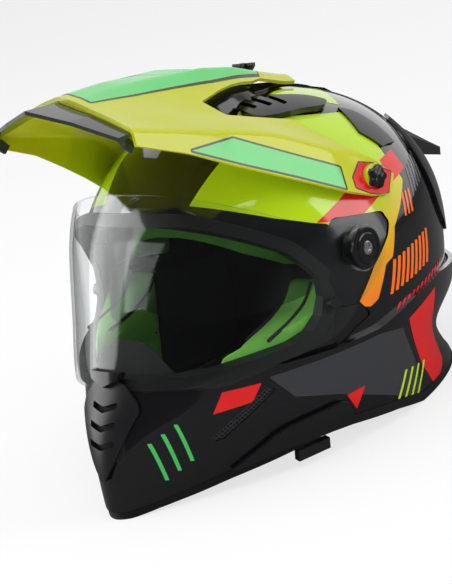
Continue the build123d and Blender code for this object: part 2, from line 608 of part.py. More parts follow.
# Rear side panels and rear exhaust grille
REAR_PANEL = [
    (50, 216), (54, 188), (56, 168), (70, 152), (96, 146), (110, 170), (104, 205), (84, 228), (60, 236),
]
for side in BOTH_SIDES:
    with BuildPart() as rear_panel:
        add(prism(REAR_PANEL, "X", *sorted((side * 52.0, side * 130.0))))
        add(hull(DOME, 2.4), mode=Mode.INTERSECT)
        add(hull(DOME, SEAM), mode=Mode.SUBTRACT)
    keep("rear_panel_" + SIDE_NAME[side], rear_panel)
with BuildPart() as rear_exhaust:
    add(prism([(-34, 142), (34, 142), (26, 172), (-26, 172)], "Y", 60, 160))
    add(hull(DOME, 5.0), mode=Mode.INTERSECT)
    add(hull(DOME, SEAM), mode=Mode.SUBTRACT)
    for z in (147.0, 155.0, 163.0):
        add(block((-20, 60, z), (20, 160, z + 3.5)), mode=Mode.SUBTRACT)
keep("rear_exhaust", rear_exhaust)

# Chin vent: cover, cap, sliding shutter behind the slots, and mesh in the side vents
COVER_HALF = [(0, 84), (12, 89), (27, 71), (20, 57), (14, 44), (8, 33), (0, 21)]
with BuildPart() as chin_cover:
    add(prism(mirrored([COVER_HALF[0]] + COVER_HALF[1:]), "Y", -220, -120))
    add(hull(JAW, 4.5), mode=Mode.INTERSECT)
    add(hull(JAW, SEAM), mode=Mode.SUBTRACT)
    for z in CHIN_SLOTS_Z:
        slot_half = [(0, z), (11, z + 3), (11, z + 7), (0, z + 4)]
        add(prism(mirrored(slot_half), "Y", -220, -140), mode=Mode.SUBTRACT)
keep("chin_cover", chin_cover)
with BuildPart() as chin_cap:
    add(prism(mirrored([(0, 94.5), (14, 94.5), (12, 89.6), (0, 84.6)]), "Y", -220, -120))
    add(hull(JAW, 8), mode=Mode.INTERSECT)
    add(hull(JAW, SEAM), mode=Mode.SUBTRACT)
keep("chin_cap", chin_cap)
SHUTTER_TRAVEL = 6.0
with BuildPart() as chin_shutter:
    add(prism([(-168.2, 38), (-162.2, 76), (-160.2, 76), (-166.2, 38)], "X", -13, 13))
    for z in CHIN_SLOTS_Z:
        add(block((-8, -172, z), (8, -156, z + 5.5)), mode=Mode.SUBTRACT)
keep("chin_shutter", chin_shutter)
for side in BOTH_SIDES:
    with BuildPart() as side_mesh:
        add(prism(MESH_STRIP, "X", *sorted((side * 30.0, side * 140.0))))
        add(hull(JAW, -1.0), mode=Mode.INTERSECT)
        add(hull(JAW, -2.6), mode=Mode.SUBTRACT)
    keep("side_mesh_" + SIDE_NAME[side], side_mesh)

# Eyeport gasket: rubber frame round the opening, reaching out to the shield
GASKET_LIP = 5.0
GASKET_INSET = 3.0


def spread(outline, amount):
    # The outline moved outward from its middle by the given amount.
    face = Face(Wire.make_polygon([Vector(0, a, b) for a, b in outline], close=True))
    wire = face.outer_wire().offset_2d(amount, Kind.INTERSECTION)
    left = Solid.extrude(Face(wire), Vector(260, 0, 0))
    right = Solid.extrude(Face(wire), Vector(-260, 0, 0))
    return Part() + left + right


gasket_ring = spread(EYEPORT, GASKET_LIP) - spread(EYEPORT, -GASKET_INSET)
with BuildPart() as eyeport_gasket:
    add(gasket_ring)
    add(hull(SHIELD, -SHIELD_THICKNESS - 0.9), mode=Mode.INTERSECT)
    add(outer_shell.part, mode=Mode.SUBTRACT)
    add(inner_form, mode=Mode.SUBTRACT)
    add(pod_prism, mode=Mode.SUBTRACT)
    add(chin_cover.part, mode=Mode.SUBTRACT)
    add(chin_cap.part, mode=Mode.SUBTRACT)
keep("eyeport_gasket", eyeport_gasket)

# Breath guard inside the chin bar
GUARD_HALF = [(0, 110), (10, 110), (22, 104), (42, 84), (42, 77), (17, 77), (15, 84.5), (0, 84.5)]
with BuildPart() as breath_guard:
    add(prism(mirrored(GUARD_HALF), "Y", -200, -105))
    add(hull(INNER, -0.3), mode=Mode.INTERSECT)
    add(hull(INNER, -3.4), mode=Mode.SUBTRACT)
keep("breath_guard", breath_guard)

# Chin strap: two flat straps, rivets, and a ratchet buckle
STRAP_Y = (-32.0, -12.0)
STRAP_THICKNESS = 1.8
MID_Y = 0.5 * (STRAP_Y[0] + STRAP_Y[1])
ANCHOR_X = 99.7


def strap_band(path):
    # A flat strap from a path of (x, z) points, wide along Y.
    upper = path
    lower = []
    for i, (x, z) in enumerate(path):
        a = path[max(i - 1, 0)]
        b = path[min(i + 1, len(path) - 1)]
        length = math.hypot(b[0] - a[0], b[1] - a[1])
        nx, nz = (b[1] - a[1]) / length, -(b[0] - a[0]) / length
        lower.append((x + nx * STRAP_THICKNESS, z + nz * STRAP_THICKNESS))
    return prism(upper + list(reversed(lower)), "Y", *STRAP_Y)


BUCKLE_X = (6.0, 44.0)
STRAP_LOW_Z = 47.0
left_path = [(100.6, 60), (100.4, 55), (97.0, 52), (78, 49.2), (58, 47.8), (BUCKLE_X[1] - 8, STRAP_LOW_Z)]
right_path = [
    (100.6, 60), (100.4, 55), (97.0, 52), (78, 49.2), (50, 47.6), (4, STRAP_LOW_Z), (-18, STRAP_LOW_Z),
]
with BuildPart() as strap_left:
    add(strap_band(list(reversed(left_path))))
    add(drum(4.2, 90, 112, (MID_Y, 56.5)), mode=Mode.SUBTRACT)
keep("strap_left", strap_left)
with BuildPart() as strap_right:
    add(strap_band([(-x, z) for x, z in right_path]))
    add(drum(4.2, -112, -90, (MID_Y, 56.5)), mode=Mode.SUBTRACT)
keep("strap_right", strap_right)
for side in BOTH_SIDES:
    with BuildPart() as strap_rivet:
        add(drum(4.2, *sorted((side * (ANCHOR_X - 1.4), side * 112.0)), (MID_Y, 56.5)))
        add(hull(INNER, -0.1), mode=Mode.INTERSECT)
    keep("strap_rivet_" + SIDE_NAME[side], strap_rivet)

# Ratchet buckle: housing with its hinge pin, toothed tongue, and release lever
WALL = 2.0
PIN_X = 40.0
PIN_Z = 52.0
BUCKLE_PIN_RADIUS = 1.3
BASE_TOP = STRAP_LOW_Z - STRAP_THICKNESS
with BuildPart() as buckle_housing:
    add(block((24, STRAP_Y[0] - 0.5 - WALL, BASE_TOP - 1.6), (46, STRAP_Y[1] + 0.5 + WALL, BASE_TOP)))
    for y in (STRAP_Y[0] - 0.5 - WALL, STRAP_Y[1] + 0.5):
        add(block((24, y, BASE_TOP), (46, y + WALL, PIN_Z + 3)))
    add(drum(BUCKLE_PIN_RADIUS, STRAP_Y[0] - 1.5, STRAP_Y[1] + 1.5, (PIN_X, PIN_Z), "Y"))
keep("buckle_housing", buckle_housing)
with BuildPart() as buckle_tongue:
    add(block((4, MID_Y - 7, STRAP_LOW_Z + 0.05), (34, MID_Y + 7, STRAP_LOW_Z + 1.6)))
    for i in range(8):
        x = 11 + 2.6 * i
        tooth = [(x, STRAP_LOW_Z + 1.6), (x + 2, STRAP_LOW_Z + 1.6), (x + 2, STRAP_LOW_Z + 2.5)]
        add(prism(tooth, "Y", MID_Y - 6, MID_Y + 6))
keep("buckle_tongue", buckle_tongue)
with BuildPart() as buckle_lever:
    add(drum(2.8, STRAP_Y[0] + 0.3, STRAP_Y[1] - 0.3, (PIN_X, PIN_Z), "Y"))
    add(block((25, STRAP_Y[0] + 1, PIN_Z - 0.2), (PIN_X, STRAP_Y[1] - 1, PIN_Z + 2.4)))
    add(drum(BUCKLE_PIN_RADIUS + RUNNING_FIT, -60, 20, (PIN_X, PIN_Z), "Y"), mode=Mode.SUBTRACT)
keep("buckle_lever", buckle_lever)

# Stand the helmet on its chin edge and nape edge, and centre it front to back
TILT = math.degrees(math.atan(REST_SLOPE))
floor_z = (CHIN_EDGE[1] + REST_FLAT - REST_SLOPE * CHIN_EDGE[0]) * math.cos(math.radians(TILT))
standing = Location((0, 0, -floor_z), (-TILT, 0, 0))
turned = {name: builder.part.moved(standing) for name, builder in PIECES.items()}
boxes = [piece.bounding_box() for piece in turned.values()]
middle_y = 0.5 * (min(b.min.Y for b in boxes) + max(b.max.Y for b in boxes))
print("tilt", TILT, "shift y", -middle_y, "shift z", -floor_z)
for name, piece in turned.items():
    placed = piece.moved(Location((0, -middle_y, 0)))
    placed.label = name
    export_step(placed, "parts/" + name + ".step")
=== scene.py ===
import json
import math

import bpy
import numpy as np
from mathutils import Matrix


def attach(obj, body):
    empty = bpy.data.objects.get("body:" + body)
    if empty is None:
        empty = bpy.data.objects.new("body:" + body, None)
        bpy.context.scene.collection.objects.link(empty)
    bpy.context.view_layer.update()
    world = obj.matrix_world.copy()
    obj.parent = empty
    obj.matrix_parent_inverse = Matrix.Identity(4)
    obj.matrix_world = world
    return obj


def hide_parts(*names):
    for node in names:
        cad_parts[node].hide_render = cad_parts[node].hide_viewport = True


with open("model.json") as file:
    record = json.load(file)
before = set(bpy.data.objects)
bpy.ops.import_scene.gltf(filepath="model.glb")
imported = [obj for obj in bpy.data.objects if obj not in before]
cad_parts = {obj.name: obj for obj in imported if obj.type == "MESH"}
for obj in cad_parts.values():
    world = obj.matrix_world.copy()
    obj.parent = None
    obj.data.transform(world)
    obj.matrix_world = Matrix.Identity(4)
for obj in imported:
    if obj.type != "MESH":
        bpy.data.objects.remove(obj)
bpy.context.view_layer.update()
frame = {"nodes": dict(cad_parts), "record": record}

TILT = math.atan(63 / 273)
SETBACK = 14.1281
DROP = 35.9325
SECTION_MIDDLE_Y = -8.0
SECTION_POINTS = 14
BELT_Z = 120.0
BELT_HALF_WIDTH = 122.0
BELT_HALF_DEPTH = 150.0
DOME_RISE = 141.5

# Each plan curve holds its height, front, rear, half width, front power and rear power.
DOME = [
    (82, -150, 104, 108, 1.95, 2.1),
    (118, -150, 118, 118.3, 1.97, 2.1),
    (152, -146.5, 120, 121.0, 1.98, 2.1),
    (187, -134, 120, 112.5, 2.05, 2.1),
    (217, -112, 105, 96, 2.05, 2.1),
    (242, -79, 76, 71, 2.05, 2.1),
    (256, -41, 44, 39, 2.0, 2.0),
    (261.5, -22, 14, 14, 2.0, 2.0),
]
JAW = [
    (-12, -178, 128, 102, 1.32, 2.1),
    (30, -182, 127, 109, 1.44, 2.1),
    (60, -179, 127, 113, 1.58, 2.1),
    (87, -169.5, 104, 115, 1.75, 2.1),
    (112, -165, 129, 120, 1.87, 2.1),
    (134, -161, 130, 123, 1.95, 2.1),
]
CREASE = [
    (-220, 87), (-150, 87), (-131, 90), (-115, 91), (-100, 89.5), (-65, 94), (-30, 101), (3, 116), (39, 127),
    (80, 129), (170, 131),
]
EYEPORT = [
    (-230, 86), (-150, 86), (-131, 89), (-110, 95), (-92, 100), (-81, 106), (-74, 117), (-72, 130),
    (-74, 144), (-81, 152), (-93, 164), (-118, 178), (-135, 187), (-230, 190),
]
POD = [
    (-66.5, 100), (-60, 94), (-49, 104), (-37, 112), (-48, 122), (-36, 143), (-19, 162), (-15, 170),
    (-19, 178), (-60, 179), (-66.5, 172),
]
CHIN_EDGE = (-178.0, -5.0)
EDGE_RISE = [
    (-215, 3), (-178, 0), (-161, 3.1), (-142, 5.7), (-125, 8.8), (-100, 12), (-71, 16.3), (-51, 14.7),
    (-12, 8.2), (18, 0.4), (30, 0), (95, 0), (150, 4),
]
EDGE_ABOVE_TRIM = 6.3
SHELL_WALL = 3.4
DOME_PITCH = 2.4
JAW_PITCH = 2.0


def stood(points):
    """Millimetres about the wearer's head, turned nose up by TILT and set on the floor, in metres."""
    x, y, z = points[..., 0], points[..., 1], points[..., 2]
    c, s = math.cos(TILT), math.sin(TILT)
    return np.stack([x, y * c + z * s - SETBACK, z * c - y * s - DROP], axis=-1) / 1000


def plan_points(rows, grow):
    """Points of each row's superellipse: x = w c^(2/n), y = middle + reach s^(2/n), front and rear apart.
    Growing scales them about the belt, so that the skin moves out by about that many millimetres."""
    angle = math.pi / 2 - 2 * math.pi * np.arange(SECTION_POINTS) / SECTION_POINTS
    c, s = np.cos(angle), np.sin(angle)
    points = []
    for height, front, rear, half_width, front_power, rear_power in rows:
        power = np.where(s < -1e-12, 2 / front_power, 2 / rear_power)
        reach = np.where(s > 0, rear - SECTION_MIDDLE_Y, SECTION_MIDDLE_Y - front)
        x = half_width * np.sign(c) * np.abs(c) ** power * (1 + grow / BELT_HALF_WIDTH)
        y = SECTION_MIDDLE_Y + reach * np.sign(s) * np.abs(s) ** power * (1 + grow / BELT_HALF_DEPTH)
        z = height if height <= BELT_Z else BELT_Z + (height - BELT_Z) * (1 + grow / DOME_RISE)
        points.append(np.stack([x, y, np.full_like(x, z)], axis=1))
    return np.array(points)


def hull(rows, grow=0.0):
    """Skin through the plan curves: a periodic cubic spline round each, and a natural one up them all."""
    points = plan_points(rows, grow)
    count = len(rows)
    n = SECTION_POINTS
    step = np.linalg.norm(np.diff(points, axis=0), axis=2).mean(axis=1)
    knots = np.concatenate([[0], np.cumsum(step)]) / step.sum()
    h = np.diff(knots)
    left = np.eye(count)
    right = np.zeros((count, count))
    for i in range(1, count - 1):
        left[i, i - 1 : i + 2] = h[i - 1], 2 * (h[i - 1] + h[i]), h[i]
        right[i, i - 1 : i + 2] = 6 / h[i - 1], -6 / h[i - 1] - 6 / h[i], 6 / h[i]
    bend = np.linalg.solve(left, right)
    ring = (4 * np.eye(n) + np.roll(np.eye(n), 1, axis=1) + np.roll(np.eye(n), -1, axis=1)) / 6
    solve_ring = np.linalg.inv(ring)
    eye = np.eye(count)

    def skin(u, v):
        i = np.clip(np.searchsorted(knots, v, side="right") - 1, 0, count - 2)
        b = (v - knots[i]) / h[i]
        a = 1 - b
        sixth = (h[i] ** 2 / 6)[:, None]
        up = a[:, None] * eye[i] + b[:, None] * eye[i + 1]
        up = up + sixth * ((a**3 - a)[:, None] * bend[i] + (b**3 - b)[:, None] * bend[i + 1])
        t = (u % 1) * n
        j = np.floor(t).astype(int)
        f = t - j
        weights = [(1 - f) ** 3, 3 * f**3 - 6 * f**2 + 4, -3 * f**3 + 3 * f**2 + 3 * f + 1, f**3]
        around = sum(w[:, None] / 6 * solve_ring[(j + k - 1) % n] for k, w in enumerate(weights))
        rows_at = (up @ points.reshape(count, -1)).reshape(len(u), n, 3)
        return (rows_at * around[:, :, None]).sum(axis=1)

    return skin


def within(outline, first=1, second=2):
    """Signed distance to a polygon seen along one axis, in mm, positive inside it."""
    corners = np.array(outline, float)
    ends = np.roll(corners, -1, axis=0)

    def distance(points):
        p = points[:, [first, second]][:, None]
        along = ends - corners
        t = ((p - corners) * along).sum(-1) / (along**2).sum(-1)
        gap = np.linalg.norm(p - corners - np.clip(t, 0, 1)[..., None] * along, axis=-1).min(axis=1)
        below = (corners[:, 1] > p[..., 1]) != (ends[:, 1] > p[..., 1])
        span = np.where(ends[:, 1] == corners[:, 1], 1e-9, ends[:, 1] - corners[:, 1])
        crossing = corners[:, 0] + (p[..., 1] - corners[:, 1]) * (ends[:, 0] - corners[:, 0]) / span
        inside = (below & (p[..., 0] < crossing)).sum(axis=1) % 2 == 1
        return np.where(inside, gap, -gap)

    return distance


def both(*tests):
    """Positive where all the areas are, since each area is positive inside."""
    return lambda points: np.min([t(points) for t in tests], axis=0)


def either(*tests):
    return lambda points: np.max([t(points) for t in tests], axis=0)


def outside(test):
    return lambda points: -test(points)


def on_side(side, start):
    return lambda points: side * points[:, 0] - start


def off_middle(start):
    return lambda points: np.abs(points[:, 0]) - start


def over(height):
    return lambda points: points[:, 2] - height


def above_edge(rise):
    """Height over the shell's lower edge, which follows the standing plane with a hollow at each side."""
    line = np.array([(y, CHIN_EDGE[1] + (y - CHIN_EDGE[0]) * math.tan(TILT) + h) for y, h in EDGE_RISE])
    return lambda points: points[:, 2] - np.interp(points[:, 1], line[:, 0], line[:, 1]) - rise


COARSE_U = 161
COARSE_V = 81
SEARCH_MARGIN = 6


def trimmed(skin, inside, pitch=1.6, turn=(0.0, 1.0), rise=(0.0, 1.0), lift=0.0):
    """Grid over skin(u, v) where inside is positive. Border points slide along it until inside is zero."""
    u, v = np.linspace(*turn, COARSE_U), np.linspace(*rise, COARSE_V)
    grid_u, grid_v = np.meshgrid(u, v, indexing="ij")
    coarse = skin(grid_u.ravel(), grid_v.ravel()).reshape(COARSE_U, COARSE_V, 3)
    near = inside(coarse.reshape(-1, 3)).reshape(COARSE_U, COARSE_V) > -SEARCH_MARGIN
    at_u, at_v = np.nonzero(near.any(axis=1))[0], np.nonzero(near.any(axis=0))[0]
    u0, u1 = u[max(at_u[0] - 1, 0)], u[min(at_u[-1] + 1, COARSE_U - 1)]
    v0, v1 = v[max(at_v[0] - 1, 0)], v[min(at_v[-1] + 1, COARSE_V - 1)]
    whole_u = np.linalg.norm(np.diff(coarse, axis=0), axis=2).sum(axis=0).max()
    whole_v = np.linalg.norm(np.diff(coarse, axis=1), axis=2).sum(axis=1).max()
    count_u = int(whole_u * (u1 - u0) / (turn[1] - turn[0]) / pitch) + 3
    count_v = int(whole_v * (v1 - v0) / (rise[1] - rise[0]) / pitch) + 3
    gu, gv = np.meshgrid(np.linspace(u0, u1, count_u), np.linspace(v0, v1, count_v), indexing="ij")
    params = np.stack([gu, gv], axis=-1)
    depth = inside(skin(gu.ravel(), gv.ravel())).reshape(gu.shape)
    kept = depth > 0
    target = np.zeros(gu.shape + (2,))
    partner = np.zeros(gu.shape, bool)
    depth_in = np.zeros(gu.shape)
    for du, dv in [(1, 0), (-1, 0), (0, 1), (0, -1), (1, 1), (1, -1), (-1, 1), (-1, -1)]:
        to = (slice(max(du, 0), count_u + min(du, 0)), slice(max(dv, 0), count_v + min(dv, 0)))
        of = (slice(max(-du, 0), count_u + min(-du, 0)), slice(max(-dv, 0), count_v + min(-dv, 0)))
        take = np.zeros(gu.shape, bool)
        take[of] = kept[to] & ~kept[of] & ~partner[of]
        shift_target = np.zeros_like(target)
        shift_depth = np.zeros_like(depth_in)
        shift_target[of] = params[to]
        shift_depth[of] = depth[to]
        target[take] = shift_target[take]
        depth_in[take] = shift_depth[take]
        partner |= take
    out_point, in_point = params[partner], target[partner]
    low, high = depth[partner], depth_in[partner]
    t_low, t_high = np.zeros(len(low)), np.ones(len(low))
    for _ in range(5):
        t = t_low + (t_high - t_low) * np.clip(low / (low - high), 0.05, 0.95)
        at = out_point + (in_point - out_point) * t[:, None]
        value = inside(skin(at[:, 0], at[:, 1]))
        t_low, low = np.where(value < 0, t, t_low), np.where(value < 0, value, low)
        t_high, high = np.where(value < 0, t_high, t), np.where(value < 0, high, value)
    params[partner] = out_point + (in_point - out_point) * t_high[:, None]
    index = np.arange(gu.size).reshape(gu.shape)
    quads = np.stack([index[:-1, :-1], index[1:, :-1], index[1:, 1:], index[:-1, 1:]], axis=-1).reshape(-1, 4)
    quads = quads[kept.ravel()[quads].any(axis=1)]
    used, quads = np.unique(quads, return_inverse=True)
    quads = quads.reshape(-1, 4)
    pu, pv = params.reshape(-1, 2)[used].T
    points = skin(pu, pv)
    e = 1e-4
    up = np.minimum(pv + e, 1) - np.maximum(pv - e, 0)
    across = skin(pu + e, pv) - skin(pu - e, pv)
    rising = (skin(pu, np.minimum(pv + e, 1)) - skin(pu, np.maximum(pv - e, 0))) / up[:, None]
    normal = np.cross(across, rising)
    normal /= np.maximum(np.linalg.norm(normal, axis=1), 1e-12)[:, None]
    head_middle = np.array([0, -20, points[:, 2].mean()])
    if (normal * (points - head_middle)).sum() < 0:
        normal = -normal
    face = points[quads]
    facing = np.cross(face[:, 2] - face[:, 0], face[:, 3] - face[:, 1])
    if (facing * normal[quads[:, 0]]).sum() < 0:
        quads = quads[:, ::-1]
    return points + lift * normal, normal, quads


def walled(sheet, thickness):
    """A sheet given a wall: a copy moved in by the thickness, and a rim of its own along every free edge."""
    points, normal, quads = sheet
    count = len(points)
    edges = np.stack([quads, np.roll(quads, -1, axis=1)], axis=-1).reshape(-1, 2)
    key = np.sort(edges, axis=1) @ [count, 1]
    _, first, times = np.unique(key, return_index=True, return_counts=True)
    free = edges[first[times == 1]]
    inner = points - normal * thickness
    rim = np.concatenate([points[free[:, 0]], points[free[:, 1]], inner[free[:, 0]], inner[free[:, 1]]])
    k = len(free)
    base = 2 * count + np.arange(k)
    rim_quads = np.stack([base + k, base, base + 2 * k, base + 3 * k], axis=1)
    vertices = np.concatenate([points, inner, rim])
    return vertices, np.concatenate([quads, quads[:, ::-1] + count, rim_quads])


def piece(name, vertices, faces, painted, body="helmet", stands_for=(), smooth=True):
    """One mesh object from head-frame points, riding on its body."""
    mesh = bpy.data.meshes.new(name)
    mesh.from_pydata(stood(np.asarray(vertices, float)).tolist(), [], [list(map(int, f)) for f in faces])
    mesh.materials.append(painted)
    if smooth:
        mesh.polygons.foreach_set("use_smooth", np.ones(len(mesh.polygons), bool))
    mesh.validate()
    obj = bpy.data.objects.new(name, mesh)
    bpy.context.scene.collection.objects.link(obj)
    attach(obj, body)
    if stands_for:
        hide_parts(*stands_for)
    return obj


def joined(*meshes):
    """Several (vertices, faces) pairs as one."""
    start = np.cumsum([0] + [len(v) for v, f in meshes])
    faces = [f.tolist() if hasattr(f, "tolist") else f for v, f in meshes]
    merged = [[i + s for i in face] for s, group in zip(start, faces) for face in group]
    return np.concatenate([v for v, f in meshes]), merged


# Sockets of a colour mix: its two colours and its result.
MIX_LOW, MIX_HIGH, MIX_RESULT = 6, 7, 2
MOTTLE_SCALE = 60
GRAIN_HEIGHT = 0.0002


def material(name, colour, rough, coat=0.0, bump=0.0, bump_scale=900.0, mottle=0.04, metal=0.0):
    """Plain finish: colour and roughness wander a little by noise on Object coordinates, with a fine bump."""
    made = bpy.data.materials.new(name)
    made.use_nodes = True
    nodes, links = made.node_tree.nodes, made.node_tree.links
    shader = nodes["Principled BSDF"]
    shader.inputs["Metallic"].default_value = metal
    shader.inputs["Coat Weight"].default_value = coat
    shader.inputs["Coat Roughness"].default_value = 0.03
    place = nodes.new("ShaderNodeTexCoord")
    noise = nodes.new("ShaderNodeTexNoise")
    noise.inputs["Scale"].default_value = MOTTLE_SCALE
    noise.inputs["Detail"].default_value = 4
    links.new(place.outputs["Object"], noise.inputs["Vector"])
    ramp = nodes.new("ShaderNodeMix")
    ramp.data_type = "RGBA"
    ramp.inputs[MIX_LOW].default_value = [c * (1 - mottle) for c in colour] + [1]
    ramp.inputs[MIX_HIGH].default_value = [min(c * (1 + mottle), 1) for c in colour] + [1]
    links.new(noise.outputs["Fac"], ramp.inputs[0])
    links.new(ramp.outputs[MIX_RESULT], shader.inputs["Base Color"])
    spread = nodes.new("ShaderNodeMapRange")
    spread.inputs["To Min"].default_value = rough * 0.8
    spread.inputs["To Max"].default_value = rough * 1.2
    links.new(noise.outputs["Fac"], spread.inputs["Value"])
    links.new(spread.outputs["Result"], shader.inputs["Roughness"])
    if bump:
        grain = nodes.new("ShaderNodeTexNoise")
        grain.inputs["Scale"].default_value = bump_scale
        grain.inputs["Detail"].default_value = 2
        links.new(place.outputs["Object"], grain.inputs["Vector"])
        raised = nodes.new("ShaderNodeBump")
        raised.inputs["Strength"].default_value = bump
        raised.inputs["Distance"].default_value = GRAIN_HEIGHT
        links.new(grain.outputs["Fac"], raised.inputs["Height"])
        links.new(raised.outputs["Normal"], shader.inputs["Normal"])
    return made


black_paint = material("black_paint", (0.004, 0.004, 0.005), 0.12, coat=1.0, bump=0.02, bump_scale=350)
MESH_STRIP = [(-134, 42), (-104, 73), (-108, 77), (-138, 46)]
dome = hull(DOME)
jaw = hull(JAW)
under_crease = within(CREASE + [(170, -60), (-220, -60)])
eyeport = within(EYEPORT)
pods = both(within(POD), off_middle(60))
side_vents = both(within(MESH_STRIP), off_middle(30))


def outward_of(rows):
    """Distance outside a hull, from the radius of its own ring at each point's height and direction."""
    around, levels = 241, 121
    skin = hull(rows)
    u, v = np.meshgrid(np.linspace(0, 1, around), np.linspace(0, 1, levels), indexing="ij")
    points = skin(u.ravel(), v.ravel()).reshape(around, levels, 3)
    heights = points[0, :, 2]
    ahead = points[:, :, 1] - SECTION_MIDDLE_Y
    angles = (math.pi / 2 - np.arctan2(ahead, points[:, :, 0])) % (2 * math.pi)
    radii = np.hypot(points[:, :, 0], ahead)

    def distance(p):
        dx, dy = p[:, 0], p[:, 1] - SECTION_MIDDLE_Y
        turn = (math.pi / 2 - np.arctan2(dy, dx)) % (2 * math.pi)
        row = np.clip(np.interp(p[:, 2], heights, np.arange(levels)), 0, levels - 1.001)
        low = row.astype(int)
        reach = np.zeros(len(p))
        for level, weight in ((low, 1 - (row - low)), (low + 1, row - low)):
            for k in np.unique(level):
                at = level == k
                column = np.argsort(angles[:-1, k])
                reach[at] += weight[at] * np.interp(
                    turn[at], angles[:-1, k][column], radii[:-1, k][column], period=2 * math.pi
                )
        return np.hypot(dx, dy) - reach

    return distance


off_jaw = either(outside(under_crease), outward_of(JAW))
dome_area = both(outside(eyeport), outside(pods), off_jaw, above_edge(EDGE_ABOVE_TRIM))
jaw_area = both(under_crease, outside(eyeport), above_edge(EDGE_ABOVE_TRIM), outside(side_vents))
shell_parts = [
    walled(trimmed(dome, dome_area, DOME_PITCH), SHELL_WALL),
    walled(trimmed(jaw, jaw_area, JAW_PITCH), SHELL_WALL),
]
shell = piece("shell_skin", *joined(*shell_parts), black_paint, stands_for=["outer_shell"])

# Painted panels. They are printed films under the shell's clear coat: lime that runs into orange behind the
# shield, a red band, stripes and chevrons at the rear, a grey panel on the jaw.
lime_paint = material("lime_paint", (0.42, 0.62, 0.008), 0.1, coat=0.4, bump=0.02, bump_scale=350)
red_paint = material("red_paint", (0.62, 0.012, 0.012), 0.12, coat=0.4, bump=0.02, bump_scale=350)
orange_paint = material("orange_paint", (0.8, 0.14, 0.015), 0.12, coat=0.4)
grey_paint = material("grey_paint", (0.035, 0.036, 0.04), 0.2, coat=0.4, bump=0.05, bump_scale=1400)
slate_paint = material("slate_paint", (0.09, 0.09, 0.1), 0.2, coat=0.4)
green_paint = material("green_paint", (0.05, 0.42, 0.09), 0.15, coat=0.4)
PANEL_LIFT = 0.14
TOP_LIFT = 0.22
PANEL_EDGE_ROOM = 0.3


def fade(painted, low_colour, high_colour, low_z, high_z, lean):
    """Makes the colour run from one to the other with height, leaning back by lean, in the standing frame."""
    nodes, links = painted.node_tree.nodes, painted.node_tree.links
    place = nodes.new("ShaderNodeTexCoord")
    split = nodes.new("ShaderNodeSeparateXYZ")
    slope = nodes.new("ShaderNodeMath")
    slope.operation = "MULTIPLY_ADD"
    slope.inputs[1].default_value = lean
    run = nodes.new("ShaderNodeMapRange")
    run.interpolation_type = "SMOOTHSTEP"
    run.inputs["From Min"].default_value = low_z
    run.inputs["From Max"].default_value = high_z
    blend = nodes.new("ShaderNodeMix")
    blend.data_type = "RGBA"
    blend.inputs[MIX_LOW].default_value = (*low_colour, 1)
    blend.inputs[MIX_HIGH].default_value = (*high_colour, 1)
    links.new(place.outputs["Object"], split.inputs[0])
    links.new(split.outputs["Y"], slope.inputs[0])
    links.new(split.outputs["Z"], slope.inputs[2])
    links.new(slope.outputs[0], run.inputs["Value"])
    links.new(run.outputs["Result"], blend.inputs[0])
    links.new(blend.outputs[MIX_RESULT], nodes["Principled BSDF"].inputs["Base Color"])


fade(lime_paint, (0.83, 0.16, 0.015), (0.42, 0.62, 0.008), low_z=0.085, high_z=0.165, lean=-0.35)


def sticker(name, skin, area, painted, lift=PANEL_LIFT, pitch=1.3, body="helmet", **grid):
    """Printed panels: the parts of a skin inside the area, raised by the lift so that they cover it."""
    points, _, quads = trimmed(skin, area, pitch, lift=lift, **grid)
    return piece(name, points, quads, painted, body)


LIME_SIDE = [
    (-165, 206), (-131, 198), (-121, 195), (-109, 190), (-94, 184), (-72, 177.5), (-64, 176), (-64, 119),
    (-46, 118), (-38, 117), (-32, 121), (-25, 143), (-18, 147), (-11, 166), (1, 178), (16, 194), (10, 210),
    (9, 218), (2, 226), (0, 242), (-42, 244), (-60, 262), (-165, 262),
]
CROWN_LIME = [(28, -21), (26, -8), (28, 31), (63, 10), (53, -10), (43, -17)]
BROW_HEIGHTS = [180, 195, 220, 240, 252]
BROW_HALF_WIDTHS = [36, 39, 46, 40, 26]
PORT_REAR_Y = -80
PORT_RIM = 4


def off_brow(points):
    """Distance past the black middle of the brow, whose half width goes by height."""
    return np.abs(points[:, 0]) - np.interp(points[:, 2], BROW_HEIGHTS, BROW_HALF_WIDTHS)


clear_of_port = outside(within([(y + (PORT_RIM if y > PORT_REAR_Y else 0), z) for y, z in EYEPORT]))
upper = both(outside(pods), off_jaw)
lime_side = both(within(LIME_SIDE), off_brow, clear_of_port, upper)
sticker("panel_lime", dome, lime_side, lime_paint, rise=(0.0, 0.97))


def mirrored_area(outline, start):
    """An outline seen from the side, on both sides, from a distance off the middle."""
    return both(within(outline), off_middle(start))


def folded_x(test):
    """The same test for both sides, made of one for the left."""
    return lambda p: test(np.stack([np.abs(p[:, 0]), p[:, 1], p[:, 2]], axis=1))


crown_lime = both(folded_x(within(CROWN_LIME, 0, 1)), over(200))
sticker("panel_crown_lime", dome, crown_lime, lime_paint, rise=(0.5, 0.98))


def leaning_bars(start, count, step, width, along, off):
    """Equal bars on both sides: each is a segment along a direction, given a width, stepped by a vector."""
    bars = []
    for i in range(count):
        y, z = start[0] + step[0] * i, start[1] + step[1] * i
        outline = [(y, z), (y + along[0], z + along[1]), (y + along[0] + width, z + along[1]), (y + width, z)]
        bars.append(mirrored_area(outline, off))
    return either(*bars)


